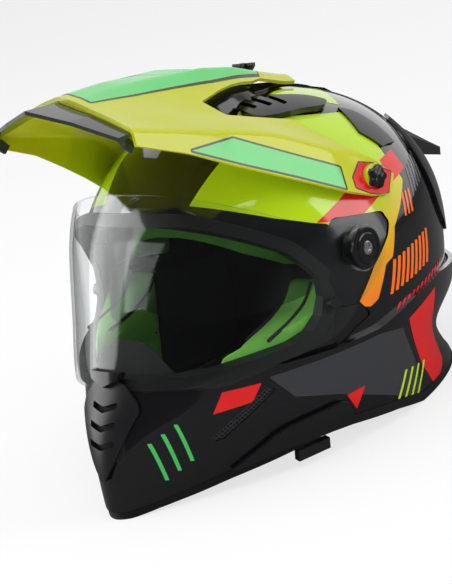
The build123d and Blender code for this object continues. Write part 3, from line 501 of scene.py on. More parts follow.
red_band = either(
    mirrored_area([(-71, 177.5), (-44, 193), (-30, 198), (-13, 189), (-42, 175)], 60),
    mirrored_area([(1, 209), (21, 214), (25, 201), (0, 193)], 60),
)
sticker("panel_red_band", dome, both(red_band, upper), red_paint, TOP_LIFT)
low_bars = leaning_bars((-21, 122), 9, (5.2, 1.8), 3.1, (3, 23), 60)
high_bars = leaning_bars((3, 171), 3, (4.6, 0.8), 2.3, (4, 15), 60)
sticker("panel_orange_bars", dome, both(either(low_bars, high_bars), upper), orange_paint, TOP_LIFT, 0.6)
grey_bars = leaning_bars((20, 182), 5, (5.4, 2.4), 2.4, (6, 18), 40)
sticker("panel_grey_bars", dome, both(grey_bars, upper), slate_paint, TOP_LIFT, 0.9)
GREY_JAW = [(-108, 82), (-66, 90), (-30, 97), (-8, 97), (6, 74), (16, 44), (-30, 55), (-62, 62), (-92, 66)]
jaw_side = both(under_crease, outside(side_vents), above_edge(EDGE_ABOVE_TRIM + PANEL_EDGE_ROOM))
sticker("panel_grey_jaw", jaw, both(mirrored_area(GREY_JAW, 40), jaw_side), grey_paint)
red_flare = either(
    mirrored_area([(-2, 102), (30, 118), (34, 96), (52, 62), (40, 42), (16, 66)], 40),
    mirrored_area([(-133, 76), (-112, 79), (-117, 67), (-138, 62)], 30),
    mirrored_area([(-56, 60), (-42, 64), (-48, 49)], 30),
)
sticker("panel_red_jaw", jaw, both(red_flare, jaw_side), red_paint, TOP_LIFT)
bright_lime = material("bright_lime", (0.44, 0.62, 0.02), 0.16, coat=0.4)
rear_bars = leaning_bars((-14, 45), 4, (7.5, 0.6), 2.3, (9, 22), 40)
sticker("panel_lime_bars", jaw, both(rear_bars, jaw_side), bright_lime, 0.3, 0.9)
chin_bars = leaning_bars((-169, 47), 3, (6.0, 5.6), 2.0, (9, -26), 12)
sticker("panel_green_bars", jaw, both(chin_bars, jaw_side), green_paint, TOP_LIFT, 0.9)
dashes = leaning_bars((-14, 108), 12, (5.2, 1.85), 2.8, (3, 7), 40)
sticker("panel_red_dashes", dome, both(dashes, upper), red_paint, TOP_LIFT, 0.6)

# Peak. The real one is one moulding of gloss plastic, folded along its length and stiffened by two fins. It
# is held by a thumb screw on top and one at each side. Printed panels lie on its tongue, flanks and ears.
PEAK_STATIONS = [
    (-190, [(0, 275), (14, 271.5), (27, 267), (44, 261), (63.5, 253.3), (66, 243)]),
    (-150, [(0, 280), (15, 276.5), (29, 268.5), (50, 258.5), (69.5, 247.3), (73, 233)]),
    (-115, [(0, 281), (18, 279.5), (30, 269.5), (52, 254.5), (74, 243), (84, 220)]),
    (-80, [(0, 276), (22, 282), (31, 270.5), (57, 250), (85.5, 236.3), (99, 207)]),
    (-50, [(0, 272), (22, 280), (28, 270.5), (68, 243.5), (99.5, 224), (114, 195.3)]),
    (-25, [(0, 270), (20, 275), (24, 269), (82, 238), (106.5, 217), (116.5, 189)]),
    (4, [(0, 268), (15, 270), (21, 264), (92, 232), (111, 209), (117, 188)]),
    (37, [(0, 265.5), (12, 265.2), (21, 262.5), (92, 232), (111, 209), (117, 188)]),
]
PEAK_WINDOW = [
    (42, -104), (56, -96), (62, -73), (68.5, -50), (82, -32), (95, -33), (104, -25), (111, -9), (114, 2),
    (140, 4), (140, 60), (20, 60), (21, 37), (21.5, 4), (24.5, -25), (28.5, -38), (32, -63),
]
EAR_SIDE = [
    (-60, 260), (-36, 226), (-27, 219), (-9, 208), (2, 203), (-9, 187), (60, 150), (60, 290), (-60, 290),
]
PEAK_TAIL_Y = 15.0
PEAK_WALL = 2.5
PEAK_FOLD = 3.2
LENGTH_STEPS = 240
SMOOTHING_STEPS = 8
FOLD_STEPS = 7


def folded_skin(stations, fold):
    """Sheet through folded cross-sections: corners run straight from station to station, smoothed along their
    length, and each fold is rounded by a parabola that starts and ends one fold length from it."""
    rows = []
    for y, half in stations:
        full = [(-x, z) for x, z in reversed(half[1:])] + half
        rows.append([(x, y, z) for x, z in full])
    corners = np.array(rows, float)
    stops = np.linspace(0, 1, len(stations))
    fine = np.linspace(0, 1, LENGTH_STEPS + 1)
    smooth = np.empty((LENGTH_STEPS + 1,) + corners.shape[1:])
    for i in range(corners.shape[1]):
        for k in range(3):
            smooth[:, i, k] = np.interp(fine, stops, corners[:, i, k])
    kernel = np.hanning(2 * SMOOTHING_STEPS + 1)
    kernel /= kernel.sum()
    before = smooth[:1] * 2 - smooth[SMOOTHING_STEPS:0:-1]
    after = smooth[-1:] * 2 - smooth[-2 : -2 - SMOOTHING_STEPS : -1]
    padded = np.concatenate([before, smooth, after])
    smooth = sum(w * padded[j : j + LENGTH_STEPS + 1] for j, w in enumerate(kernel))
    smooth[0], smooth[-1] = corners[0], corners[-1]
    count = corners.shape[1]
    columns = [smooth[:, 0]]
    for i in range(1, count - 1):
        before, here, after = smooth[:, i - 1], smooth[:, i], smooth[:, i + 1]
        length_a = np.linalg.norm(before - here, axis=1, keepdims=True)
        length_b = np.linalg.norm(after - here, axis=1, keepdims=True)
        start = here + (before - here) * np.minimum(fold / length_a, 0.45)
        end = here + (after - here) * np.minimum(fold / length_b, 0.45)
        for t in np.linspace(0, 1, FOLD_STEPS):
            columns.append((1 - t) ** 2 * start + 2 * t * (1 - t) * here + t**2 * end)
    columns.append(smooth[:, -1])
    net = np.stack(columns, axis=0)
    span = np.linalg.norm(np.diff(net, axis=0), axis=2).mean(axis=1)
    knots = np.concatenate([[0], np.cumsum(span)]) / span.sum()

    def skin(u, v):
        i = np.clip(np.searchsorted(knots, u, side="right") - 1, 0, len(knots) - 2)
        f = ((u - knots[i]) / (knots[i + 1] - knots[i]))[:, None]
        j = np.clip((v * LENGTH_STEPS).astype(int), 0, LENGTH_STEPS - 1)
        g = (v * LENGTH_STEPS - j)[:, None]
        near = (1 - g) * net[i, j] + g * net[i, j + 1]
        far = (1 - g) * net[i + 1, j] + g * net[i + 1, j + 1]
        return (1 - f) * near + f * far

    return skin


peak_paint = material("peak_paint", (0.45, 0.48, 0.006), 0.16, coat=0.05, bump=0.02, bump_scale=300)
mint_paint = material("mint_paint", (0.12, 0.53, 0.15), 0.2, coat=0.05)
edge_paint = material("edge_paint", (0.02, 0.022, 0.02), 0.2, coat=0.3)
peak_skin = folded_skin(PEAK_STATIONS, PEAK_FOLD)
SIDE_SCREW = (-21.5, 201.0)
SIDE_HOLE_RADIUS = 3.0


def bored(radius, centre, off):
    """A round hole along X on both sides, at a (y, z) centre, from a distance off the middle."""
    return both(lambda p: radius - np.hypot(p[:, 1] - centre[0], p[:, 2] - centre[1]), off_middle(off))


def ahead_of(y):
    return lambda points: y - points[:, 1]


screw_slot = within([(-3.1, -20.2), (3.1, -20.2), (3.1, -9.8), (-3.1, -9.8)], 0, 1)
side_hole = bored(SIDE_HOLE_RADIUS, SIDE_SCREW, 60)
windows = folded_x(within(PEAK_WINDOW, 0, 1))
ears = both(within(EAR_SIDE), off_middle(60))
inner_edge = both(outside(windows), outside(ears))
peak_area = both(inner_edge, outside(screw_slot), outside(side_hole), ahead_of(PEAK_TAIL_Y))
peak_parts = [walled(trimmed(peak_skin, peak_area, 1.6), PEAK_WALL)]


def turned(profile, centre, axis, side=1.0, around=48):
    """Solid of revolution: (radius, height) points carried round X or Z from a centre, poles closed."""
    profile = np.array(profile, float)
    angle = np.linspace(0, 2 * math.pi, around, endpoint=False)
    r, h = profile[:, 0][:, None], profile[:, 1][:, None]
    a, b = r * np.cos(angle), r * np.sin(angle)
    h = np.broadcast_to(h, a.shape) * side
    if axis == "X":
        points = np.stack([h, a * side, b], axis=-1)
    else:
        points = np.stack([a, b * side, h], axis=-1)
    points = points.reshape(-1, 3) + centre
    count = len(profile)
    i, j = np.meshgrid(np.arange(count - 1), np.arange(around), indexing="ij")
    k = (j + 1) % around
    quads = np.stack([i * around + j, i * around + k, (i + 1) * around + k, (i + 1) * around + j], axis=-1)
    return points, quads.reshape(-1, 4)


BOSS_FACE = 110.5
EAR_FACE = 114.6
SEAT_PROFILE = [
    (3.0, BOSS_FACE), (8.6, BOSS_FACE), (8.6, EAR_FACE - 0.4), (8.2, EAR_FACE), (3.0, EAR_FACE),
    (3.0, BOSS_FACE),
]
for side in (1, -1):
    peak_parts.append(turned(SEAT_PROFILE, (0, *SIDE_SCREW), "X", side))
peak = piece("peak_skin", *joined(*peak_parts), peak_paint, "peak_body", ["peak"])
TONGUE_HALF = [
    (0, -182), (21, -182), (25, -150), (27, -112), (29, -80), (26, -50), (22, -25), (17.5, -22), (0, -22),
]
FLANK = [(-149, 234.8), (-114.5, 238.2), (-47.5, 210.5), (-50.5, 197.3), (-80, 209.3), (-115, 222.2)]
EAR_PATCH = [
    (-42, 204), (-43.5, 195), (-30, 189), (-16, 186), (2, 190), (6, 200), (0, 208), (-14, 211), (-30, 214),
]
LINE_LIFT = 0.12
TONGUE_LINE, FLANK_LINE = 1.5, 1.4
EAR_LINE_INSET, EAR_PANEL_INSET = 1.6, 2.4


def across(half):
    """A whole outline from its half with x at or above 0."""
    return half + [(-x, other) for x, other in reversed(half) if x]


def grown(test, by):
    return lambda p: test(p) + by


tongue = within(across(TONGUE_HALF), 0, 1)
flank = both(within(FLANK), off_middle(50))
ear_patch = both(within(EAR_PATCH), off_middle(60), outside(side_hole), grown(outside(ears), -0.8))
for name, drawn, line, inset, room, painted, pitch in (
    ("tongue", tongue, TONGUE_LINE, 0, over(200), mint_paint, 1.2),
    ("flank", flank, FLANK_LINE, 0, inner_edge, mint_paint, 1.0),
    ("ear", ear_patch, -EAR_LINE_INSET, -EAR_PANEL_INSET, outside(ears), red_paint, 0.9),
):
    line_area, panel_area = both(grown(drawn, line), room), both(grown(drawn, inset), room)
    sticker("peak_" + name + "_line", peak_skin, line_area, edge_paint, LINE_LIFT, pitch, "peak_body")
    sticker("peak_" + name + "_panel", peak_skin, panel_area, painted, TOP_LIFT, pitch, "peak_body")

# Face shield. Clear polycarbonate, formed to the front of the shell, with bright cut edges and a notch over
# the chin. It turns on a hub at each side and clicks shut on a small pin.
SHIELD = [
    (66, -175.5, 60, 124, 1.68, 2.1),
    (84, -174.5, 60, 124, 1.75, 2.1),
    (110, -168.7, 60, 123.8, 1.83, 2.1),
    (145, -160.8, 60, 123.6, 1.94, 2.1),
    (182, -149.5, 60, 122.6, 2.05, 2.1),
    (212, -134.5, 60, 119, 2.05, 2.1),
]
SHIELD_OUTLINE = [
    (-190, 82), (-150, 80.5), (-136, 80), (-124, 85), (-107, 92), (-91, 96), (-74, 101), (-60, 110),
    (-50, 123), (-33, 140), (-26, 153), (-28, 166), (-36, 174), (-48, 177), (-62, 174.5), (-75, 175.5),
    (-92, 182), (-120, 196), (-131, 202), (-140, 206), (-190, 207),
]
NOTCH = [(-27, 70), (-25.5, 84), (-15, 95.5), (15, 95.5), (25.5, 84), (27, 70)]
HUB = (-48.0, 158.0)
HUB_HOLE_RADIUS = 9.1
SHIELD_WALL = 2.1
HUB_RING_PROFILE = [(9.3, 115.5), (15.4, 115.5), (15.4, 121.7), (14.8, 122.1), (9.3, 122.1), (9.3, 115.5)]


def rounded(outline, passes=2):
    """Corner cutting: each pass replaces a corner by points a fifth and four fifths along its sides."""
    points = np.array(outline, float)
    for _ in range(passes):
        after = np.roll(points, -1, axis=0)
        points = np.stack([0.8 * points + 0.2 * after, 0.2 * points + 0.8 * after], axis=1).reshape(-1, 2)
    return [tuple(p) for p in points]


def clear_plastic(name, tint, sheen=1.0, steepness=3.6, rim_gloss=0.55, least_gloss=0.03):
    """See-through plastic in a thin wall: what lies behind it is tinted, and it gets glossier where it turns
    away, as least + rim * facing^steepness."""
    made = bpy.data.materials.new(name)
    made.use_nodes = True
    nodes, links = made.node_tree.nodes, made.node_tree.links
    nodes.remove(nodes["Principled BSDF"])
    passing = nodes.new("ShaderNodeBsdfTransparent")
    passing.inputs["Color"].default_value = (*tint, 1)
    gloss = nodes.new("ShaderNodeBsdfGlossy")
    gloss.inputs["Color"].default_value = (sheen, sheen, sheen, 1)
    gloss.inputs["Roughness"].default_value = 0.07
    turned_away = nodes.new("ShaderNodeLayerWeight")
    turned_away.inputs["Blend"].default_value = 0.5
    steep = nodes.new("ShaderNodeMath")
    steep.operation = "POWER"
    steep.inputs[1].default_value = steepness
    rim = nodes.new("ShaderNodeMath")
    rim.operation = "MULTIPLY_ADD"
    rim.inputs[1].default_value = rim_gloss
    rim.inputs[2].default_value = least_gloss
    mix = nodes.new("ShaderNodeMixShader")
    links.new(turned_away.outputs["Facing"], steep.inputs[0])
    links.new(steep.outputs[0], rim.inputs[0])
    links.new(rim.outputs[0], mix.inputs[0])
    links.new(passing.outputs[0], mix.inputs[1])
    links.new(gloss.outputs[0], mix.inputs[2])
    links.new(mix.outputs[0], nodes["Material Output"].inputs["Surface"])
    return made


clear = clear_plastic("clear_shield", (0.97, 0.98, 0.98))
shield_skin = hull(SHIELD)
hub_hole = bored(HUB_HOLE_RADIUS, HUB, 60)
notch = both(within(NOTCH, 0, 2), ahead_of(-110))
shield_area = both(within(rounded(SHIELD_OUTLINE)), outside(notch), outside(hub_hole))
shield_parts = [walled(trimmed(shield_skin, shield_area, 1.8), SHIELD_WALL)]
for side in (1, -1):
    shield_parts.append(turned(HUB_RING_PROFILE, (0, *HUB), "X", side))
shield = piece("shield_skin", *joined(*shield_parts), clear, "shield", ["face_shield"])

# Finishes of the pieces that keep their solids: moulded black plastic, rubber, foam, webbing and steel. The
# vents, the crown ridge, the spoiler and the chin's cap are glossy, the rest of the black plastic is satin.
satin_black = material("satin_black", (0.008, 0.008, 0.009), 0.34, bump=0.04, bump_scale=900)
gloss_black = material("gloss_black", (0.006, 0.006, 0.007), 0.16, coat=0.2)
rubber = material("rubber", (0.005, 0.005, 0.005), 0.55, bump=0.05, bump_scale=900)
foam = material("foam", (0.01, 0.01, 0.01), 0.95, bump=0.6, bump_scale=420)
webbing = material("webbing", (0.012, 0.012, 0.012), 0.8, bump=0.6, bump_scale=1500)
steel = material("steel", (0.62, 0.6, 0.58), 0.28, metal=1.0, bump=0.1, bump_scale=800)
mesh_wire = material("mesh_wire", (0.2, 0.2, 0.21), 0.35, metal=1.0, bump=0.1, bump_scale=700)
smoke_film = material("smoke_film", (0.03, 0.034, 0.028), 0.1, coat=0.4)
smoked = clear_plastic("smoked_lens", (0.7, 0.71, 0.71), 0.6)
by_slot = {
    "shell": black_paint, "peak": peak_paint, "tint": smoke_film, "black": satin_black, "foam": foam,
    "dark_cloth": foam, "cloth": foam, "rubber": rubber, "webbing": webbing, "grey": satin_black,
    "mesh": mesh_wire, "steel": steel, "clear": clear, "smoke": smoked,
}
GLOSSY_NODES = ("top_vent_left", "top_vent_right", "crown_ridge", "rear_spoiler", "chin_cap")
slot_of = {s["node"]: s["material_slot"] for s in frame["record"]["subparts"]}
for node, obj in frame["nodes"].items():
    finish = gloss_black if node in GLOSSY_NODES else by_slot[slot_of[node]]
    for place in obj.material_slots:
        place.material = finish

# Smooth skins over the moulded black pieces, all made the same way: an area of a plan-curve skin, given the
# wall that the solid has. They lie in the places of the solids, which stay for the contact model.
def moulded(name, rows, level, area, painted, node, pitch=1.5, body="helmet", **grid):
    """A moulded piece that stands for one solid. Its level is how far its face stands off the plan-curve
    skin, and its wall."""
    stand_off, wall = level
    vertices, faces = walled(trimmed(hull(rows, stand_off), area, pitch, **grid), wall)
    return piece(name, vertices, faces, painted, body, [node])


def half_turn(side):
    """The stretch of a skin's turn that lies on one side."""
    return {"turn": (0.02, 0.48) if side > 0 else (0.52, 0.98)}


SIDES = ((1, "left"), (-1, "right"))
POD_LEVEL = (-0.9, 2.4)
SIDE_LEVEL = (4.6, 2.7)
TOP_VENT_LEVEL = (5.2, 4.6)
STRIP_LEVEL = (1.8, 1.5)
REAR_PANEL_LEVEL = (2.4, 2.1)
RIDGE_LEVEL = (1.6, 1.4)
CHIN_COVER_LEVEL = (3.8, 3.3)
CHIN_CAP_LEVEL = (8.0, 7.4)
POD_SPLIT_Z = 121.0
POD_JOINT = 0.6
COVER_SIDE = [
    (-131, 20), (-118, 31), (-102, 45), (-84, 51), (-64, 56.5), (-58, 56), (-54, 48), (-52, 40.5), (-71, 37),
    (-103, 30),
]
INTAKE = [(28, -43), (33, -61), (52, -62), (62, -48), (71, -16), (66, -5), (57, -13), (44, -30)]
GILL_COUNT = 3
GILL_STEP = 8.5
GILL_WIDTH = 4.2
STRIP = [(69, 1), (73, 13), (84, 24), (93, 30), (97, 11), (89, -2)]
REAR_PANEL = [
    (50, 216), (54, 188), (56, 168), (70, 152), (96, 146), (110, 170), (104, 205), (84, 228), (60, 236),
]
RIDGE_HALF = [(0, -30), (24, -26), (13, 10), (9, 49), (0, 49)]
TOP_SCREW_Y = -13.0
TOP_SCREW_ROOM = 9.8
COVER_HALF = [(0, 84), (12, 89), (27, 71), (20, 57), (14, 44), (8, 33), (0, 21)]
CHIN_SLOTS_Z = (44.0, 56.0, 68.0)
CAP_HALF = [(0, 94.5), (14, 94.5), (12, 89.6), (0, 84.6)]
in_front = ahead_of(-40)
top_side = over(190)
pod_upper = both(outside(hub_hole), outside(eyeport), over(POD_SPLIT_Z))
pod_lower = both(outside(eyeport), off_jaw, outside(over(POD_SPLIT_Z - POD_JOINT)))
for side, hand in SIDES:
    half = half_turn(side)
    pod = both(within(rounded(POD, 1)), on_side(side, 60))
    base, cover = both(pod, pod_upper), both(pod, pod_lower)
    moulded("pivot_base_skin_" + hand, DOME, POD_LEVEL, base, gloss_black, "pivot_base_" + hand, **half)
    moulded("pod_cover_skin_" + hand, DOME, POD_LEVEL, cover, satin_black, "pod_cover_" + hand, **half)
    jaw_cover = both(within(rounded(COVER_SIDE, 1)), on_side(side, 30))
    moulded("side_cover_skin_" + hand, JAW, SIDE_LEVEL, jaw_cover, satin_black, "side_cover_" + hand, **half)
    vent = both(within(rounded([(side * x, y) for x, y in INTAKE], 1), 0, 1), top_side)
    for i in range(GILL_COUNT):
        gill_y = -56 + GILL_STEP * i
        gill = [(side * 25, gill_y), (side * (44 + 6 * i), gill_y)]
        gill += [(x, y + GILL_WIDTH) for x, y in reversed(gill)]
        vent = both(vent, outside(within(gill, 0, 1)))
    moulded("top_vent_skin_" + hand, DOME, TOP_VENT_LEVEL, vent, gloss_black, "top_vent_" + hand, 1.2, **half)
    strip = both(within([(side * x, y) for x, y in STRIP], 0, 1), top_side)
    moulded("rear_strip_skin_" + hand, DOME, STRIP_LEVEL, strip, gloss_black, "rear_strip_" + hand, **half)
    panel = both(within(rounded(REAR_PANEL, 1)), on_side(side, 52))
    made = moulded(
        "rear_panel_skin_" + hand, DOME, REAR_PANEL_LEVEL, panel, black_paint, "rear_panel_" + hand, **half
    )
off_top_screw = lambda p: np.hypot(p[:, 0], p[:, 1] - TOP_SCREW_Y) - TOP_SCREW_ROOM
ridge = both(within(rounded(across(RIDGE_HALF), 1), 0, 1), top_side, off_top_screw)
moulded("crown_ridge_skin", DOME, RIDGE_LEVEL, ridge, gloss_black, "crown_ridge")
cover_area = both(within(rounded(across(COVER_HALF), 1), 0, 2), in_front)
for z in CHIN_SLOTS_Z:
    slot = across([(0, z), (11, z + 3), (11, z + 7), (0, z + 4)])
    cover_area = both(cover_area, outside(within(slot, 0, 2)))
moulded("chin_cover_skin", JAW, CHIN_COVER_LEVEL, cover_area, satin_black, "chin_cover", 1.2, turn=(0.3, 0.7))
cap_area = both(within(across(CAP_HALF), 0, 2), in_front)
moulded("chin_cap_skin", JAW, CHIN_CAP_LEVEL, cap_area, gloss_black, "chin_cap", 1.2, turn=(0.3, 0.7))

# Duct under the peak's tongue. The real one is a low rise moulded on the shell, which feeds the crown
# intakes. It swells off the dome in a quarter round from its outline.
DUCT_HALF = [(0, -96), (18, -90), (29, -62), (30, -40), (24, -27), (0, -27)]
DUCT_ROUND = 9
DUCT_Y = [-92, -75, -52, -36, -27]
DUCT_RISE = [7, 13, 12.5, 9, 5]
duct_area = both(within(rounded(across(DUCT_HALF), 1), 0, 1), top_side)
points, normal, quads = trimmed(dome, duct_area, 1.6)
reach = np.clip(duct_area(points) / DUCT_ROUND, 0, 1)
lift = (1 - (1 - reach) ** 2) * np.interp(points[:, 1], DUCT_Y, DUCT_RISE) + 0.1
piece("crown_duct", points + normal * lift[:, None], quads, gloss_black)

# Liner and pads. The real ones are soft foam under green and black knit cloth, snapped to the foam shell: a
# band round the brow, a cap, two cheek pads with a sewn channel and piping, and a collar round the nape.
cloth_green = material("cloth_green", (0.15, 0.46, 0.06), 0.9, bump=0.7, bump_scale=1600, mottle=0.25)
cloth_dark = material("cloth_dark", (0.012, 0.013, 0.012), 0.95, bump=0.7, bump_scale=1600, mottle=0.3)
bead_foam = material("bead_foam", (0.012, 0.012, 0.012), 0.9, bump=0.8, bump_scale=330)
INNER = [
    (-16, -169, 118, 96, 1.4, 2.1),
    (42, -174, 113, 104.5, 1.5, 2.1),
    (80, -165, 98, 108, 1.68, 2.1),
    (125, -145, 113, 115, 1.95, 2.1),
    (165, -139, 115, 115, 2.05, 2.1),
    (213, -109, 102, 93.5, 2.05, 2.1),
    (243, -66, 64, 58, 2.05, 2.1),
    (256.5, -24, 16, 16, 2.0, 2.0),
]
CAVITY = [
    (20, -102, 88, 80, 2.0, 2.1),
    (90, -106, 90, 83, 2.0, 2.1),
    (150, -104, 92, 86, 2.0, 2.1),
    (190, -96, 86, 79, 2.0, 2.1),
    (215, -72, 68, 60, 2.0, 2.0),
    (228, -24, 24, 20, 2.0, 2.0),
]
CHEEK_SIDE = [
    (-106, 62), (-123, 80), (-127, 95), (-112, 104), (-85, 114), (-67, 124), (-57, 141), (28, 142), (28, 62),
]
CHEEK_CROWN = 60.5
CHEEK_ROUND = 9
GREEN_PART_Y = -56.0
WRINKLE_DEPTH = 0.35
SEWN_DEPTH = 2.6
SEWN_HALF_WIDTH = 2.2
HEM = 1.2
LEAST_CHEEK_DEPTH = 1.5


def stuffed(name, skin, area, depth, radius, painted, node, fill, channel=None, pitch=1.6, to_x=None, **grid):
    """A pad: it swells from its outline to its crown in a quarter round, shallow wrinkles run over it as a
    product of sines, and a sewn channel draws it in. A cheek pad's crown lies in the plane x = to_x."""
    points, normal, quads = trimmed(skin, area, pitch, **grid)
    near = np.clip(area(points) / radius, 0, 1)
    swell = np.sqrt(1 - (1 - near) ** 2)
    waves = np.sin(points[:, 1] / 5.3 + 2 * np.sin(points[:, 2] / 9)) * np.sin(points[:, 2] / 6.1)
    drawn_in = WRINKLE_DEPTH * waves * near
    if channel is not None:
        drawn_in -= SEWN_DEPTH * np.exp(-((channel(points) / SEWN_HALF_WIDTH) ** 2)) * near
    if to_x is None:
        depth_at = HEM + (depth - HEM) * swell + drawn_in
    else:
        normal = np.sign(points[:, :1]) * [[1.0, 0.0, 0.0]]
        crown_x = to_x + radius * (1 - swell)
        depth_at = np.maximum(np.abs(points[:, 0]) - crown_x + drawn_in, LEAST_CHEEK_DEPTH)
    made = piece(name, *walled((points, normal, quads), depth_at[:, None]), painted, "helmet", node)
    return made


def tube(path, radius, around=8):
    """A round bar along a path of points, with closed ends."""
    path = np.array(path, float)
    ahead = np.roll(path, -1, axis=0) - np.roll(path, 1, axis=0)
    ahead[0], ahead[-1] = path[1] - path[0], path[-1] - path[-2]
    ahead /= np.linalg.norm(ahead, axis=1, keepdims=True)
    first = np.cross(ahead, [1.0, 0.2, 0.1])
    first /= np.linalg.norm(first, axis=1, keepdims=True)
    second = np.cross(ahead, first)
    angle = np.linspace(0, 2 * math.pi, around, endpoint=False)
    ring = np.cos(angle)[None, :, None] * first[:, None] + np.sin(angle)[None, :, None] * second[:, None]
    points = (path[:, None] + radius * ring).reshape(-1, 3)
    last = len(path) - 1
    i, j = np.meshgrid(np.arange(last), np.arange(around), indexing="ij")
    k = (j + 1) % around
    quads = np.stack([i * around + j, (i + 1) * around + j, (i + 1) * around + k, i * around + k], axis=-1)
    ends = [list(range(around))[::-1], [last * around + m for m in range(around)]]
    return points, quads.reshape(-1, 4).tolist() + ends


def sewn_line(a, b):
    """Distance from the line through two (y, z) points, seen from the side."""
    way = np.array(b, float) - a
    way /= np.linalg.norm(way)
    return lambda p: (p[:, 1] - a[0]) * way[1] - (p[:, 2] - a[1]) * way[0]


cheek_outline = rounded(CHEEK_SIDE, 2)
channel = sewn_line((-90, 88), (12, 112))
CHEEK_BED = -1.2
CHEEK_MIDDLE = (-36, 102)
PIPING_RADIUS = 1.3
for side, hand in SIDES:
    whole = both(within(cheek_outline), on_side(side, 45))
    green_part, dark_part = both(whole, ahead_of(GREEN_PART_Y)), both(whole, outside(ahead_of(GREEN_PART_Y)))
    for name, part, cloth, nodes, pitch in (
        ("cheek_pad_skin_", green_part, cloth_green, ["cheek_pad_" + hand, "cheek_foam_" + hand], 1.5),
        ("cheek_rear_skin_", dark_part, cloth_dark, [], 1.8),
    ):
        stuffed(
            name + hand, hull(INNER, CHEEK_BED), part, 0, CHEEK_ROUND, cloth, nodes, 0.85, channel, pitch,
            CHEEK_CROWN, **half_turn(side),
        )
    for name, scale, x in (("piping", 0.95, CHEEK_CROWN + 3.2), ("seam", 1.0, 84.0)):
        path = []
        for y, z in rounded(CHEEK_SIDE, 3):
            y = CHEEK_MIDDLE[0] + (y - CHEEK_MIDDLE[0]) * scale
            z = CHEEK_MIDDLE[1] + (z - CHEEK_MIDDLE[1]) * scale
            if -np.interp(z, [80, 100], [104, 108]) < y < GREEN_PART_Y - 1:
                path.append((side * x, y, z))
        piece("cheek_" + name + "_" + hand, *tube(path, PIPING_RADIUS), cloth_dark)

BROW_SIDE = [
    (-130, 174), (-104, 171), (-88, 159), (-68, 149), (-20, 144), (-20, 171.5), (-51, 171.5), (-90, 185.5),
    (-130, 185.5),
]
CAP_SIDE = [(-90, 187), (-50, 173), (95, 173), (95, 260), (-90, 260)]
ROLL_SIDE = [(6, 52), (60, 58.5), (84, 63), (108, 69.5), (130, 76), (130, 84), (80, 65.2), (28, 61), (6, 60)]
QUILT_STEP = 34
headband = hull(CAVITY, 3.7)
quilt = lambda p: (p[:, 1] + 300) % QUILT_STEP - QUILT_STEP / 2
collar = hull(INNER, -1.0)
front = (0.2, 0.8)
stuffed("brow_pad_skin", headband, within(BROW_SIDE), 9.0, 11, cloth_green, ["brow_pad"], 0.8, turn=front)
stuffed("crown_liner_skin", headband, within(CAP_SIDE), 4.6, 8, cloth_dark, ["crown_liner"], 0.6, quilt, 2.2)
stuffed("neck_roll_skin", collar, within(ROLL_SIDE), 13, 4.5, cloth_dark, ["neck_roll"], 0.8, pitch=1.4)

LINER_SIDE = [
    (-112, 226), (-96, 219), (-95, 212), (-66, 212), (-64, 194), (-52, 179), (-38, 173), (-38, 143),
    (32, 143), (32, 66), (80, 66), (125, 86), (125, 270), (-112, 270),
]
CHIN_PAD_SIDE = [(-200, 76), (-92, 76), (-92, 35), (-200, 2)]
GUARD_HALF = [(0, 110), (10, 110), (22, 104), (42, 84), (42, 77), (17, 77), (15, 84.5), (0, 84.5)]
LINER_DEPTH, CHIN_PAD_DEPTH, GUARD_DEPTH = 9.0, 15.5, 2.8
shutter_room = lambda p: np.maximum(np.abs(p[:, 0]) - 13.4, 30 - p[:, 2])
liner_sheet = trimmed(hull(CAVITY, 4.4), within(LINER_SIDE), 2.5)
chin_sheet = trimmed(collar, both(within(CHIN_PAD_SIDE), shutter_room), 2.0, turn=front)
guard_area = both(within(rounded(across(GUARD_HALF), 1), 0, 2), ahead_of(-105))
guard_sheet = trimmed(hull(INNER, -0.4), guard_area, 1.6, turn=(0.3, 0.7))
for node, sheet, depth, padding, fill in (
    ("impact_liner", liner_sheet, -LINER_DEPTH, bead_foam, 1.0),
    ("chin_liner", chin_sheet, CHIN_PAD_DEPTH, bead_foam, 1.0),
    ("breath_guard", guard_sheet, GUARD_DEPTH, cloth_dark, 0.3),
):
    piece(node + "_skin", *walled(sheet, depth), padding, "helmet", [node])

# Inner sun lens. Dark smoked polycarbonate, behind the shield and inside the eyeport, on a pivot at each
# side. It lifts into the foam liner when its lever is pushed.
SUN_SIDE = [
    (-170, 115), (-118, 117.5), (-80, 125), (-62, 130), (-52, 150), (-46, 151), (-42, 160), (-46, 168),
    (-60, 170), (-84, 184), (-170, 192),
]
SUN_PIVOT = (-52.0, 160.0)
SUN_HOLE_RADIUS = 3.1
SUN_LEVEL = (-26.0, 1.7)
SUN_NOTCH = [(-36, 100), (-20, 124), (-4, 128), (4, 128), (20, 124), (36, 100)]
nose = both(within(rounded(SUN_NOTCH, 1), 0, 2), ahead_of(-100))
pin_hole = bored(SUN_HOLE_RADIUS, SUN_PIVOT, 40)
lens_area = both(within(rounded(SUN_SIDE, 1)), outside(nose), outside(pin_hole))
lens = moulded("sun_lens_skin", SHIELD, SUN_LEVEL, lens_area, smoked, "sun_lens", 1.8, "inner_lens")

# Chin strap: two flat woven straps from a rivet at each side to a steel ratchet buckle under the chin.
# Each is about 20 mm wide and 1.8 mm thick, laid flat.
STRAP_Y = (-32.0, -12.0)
STRAP_THICKNESS = 1.8
STRAP_STEPS = 90
RIGHT_PATH = [(100.6, 60), (100.4, 55), (97.0, 52), (78, 49.2), (50, 47.6), (4, 47), (-18, 47)]
LEFT_PATH = [(100.6, 60), (100.4, 55), (97.0, 52), (78, 49.2), (58, 47.8), (36, 47)]


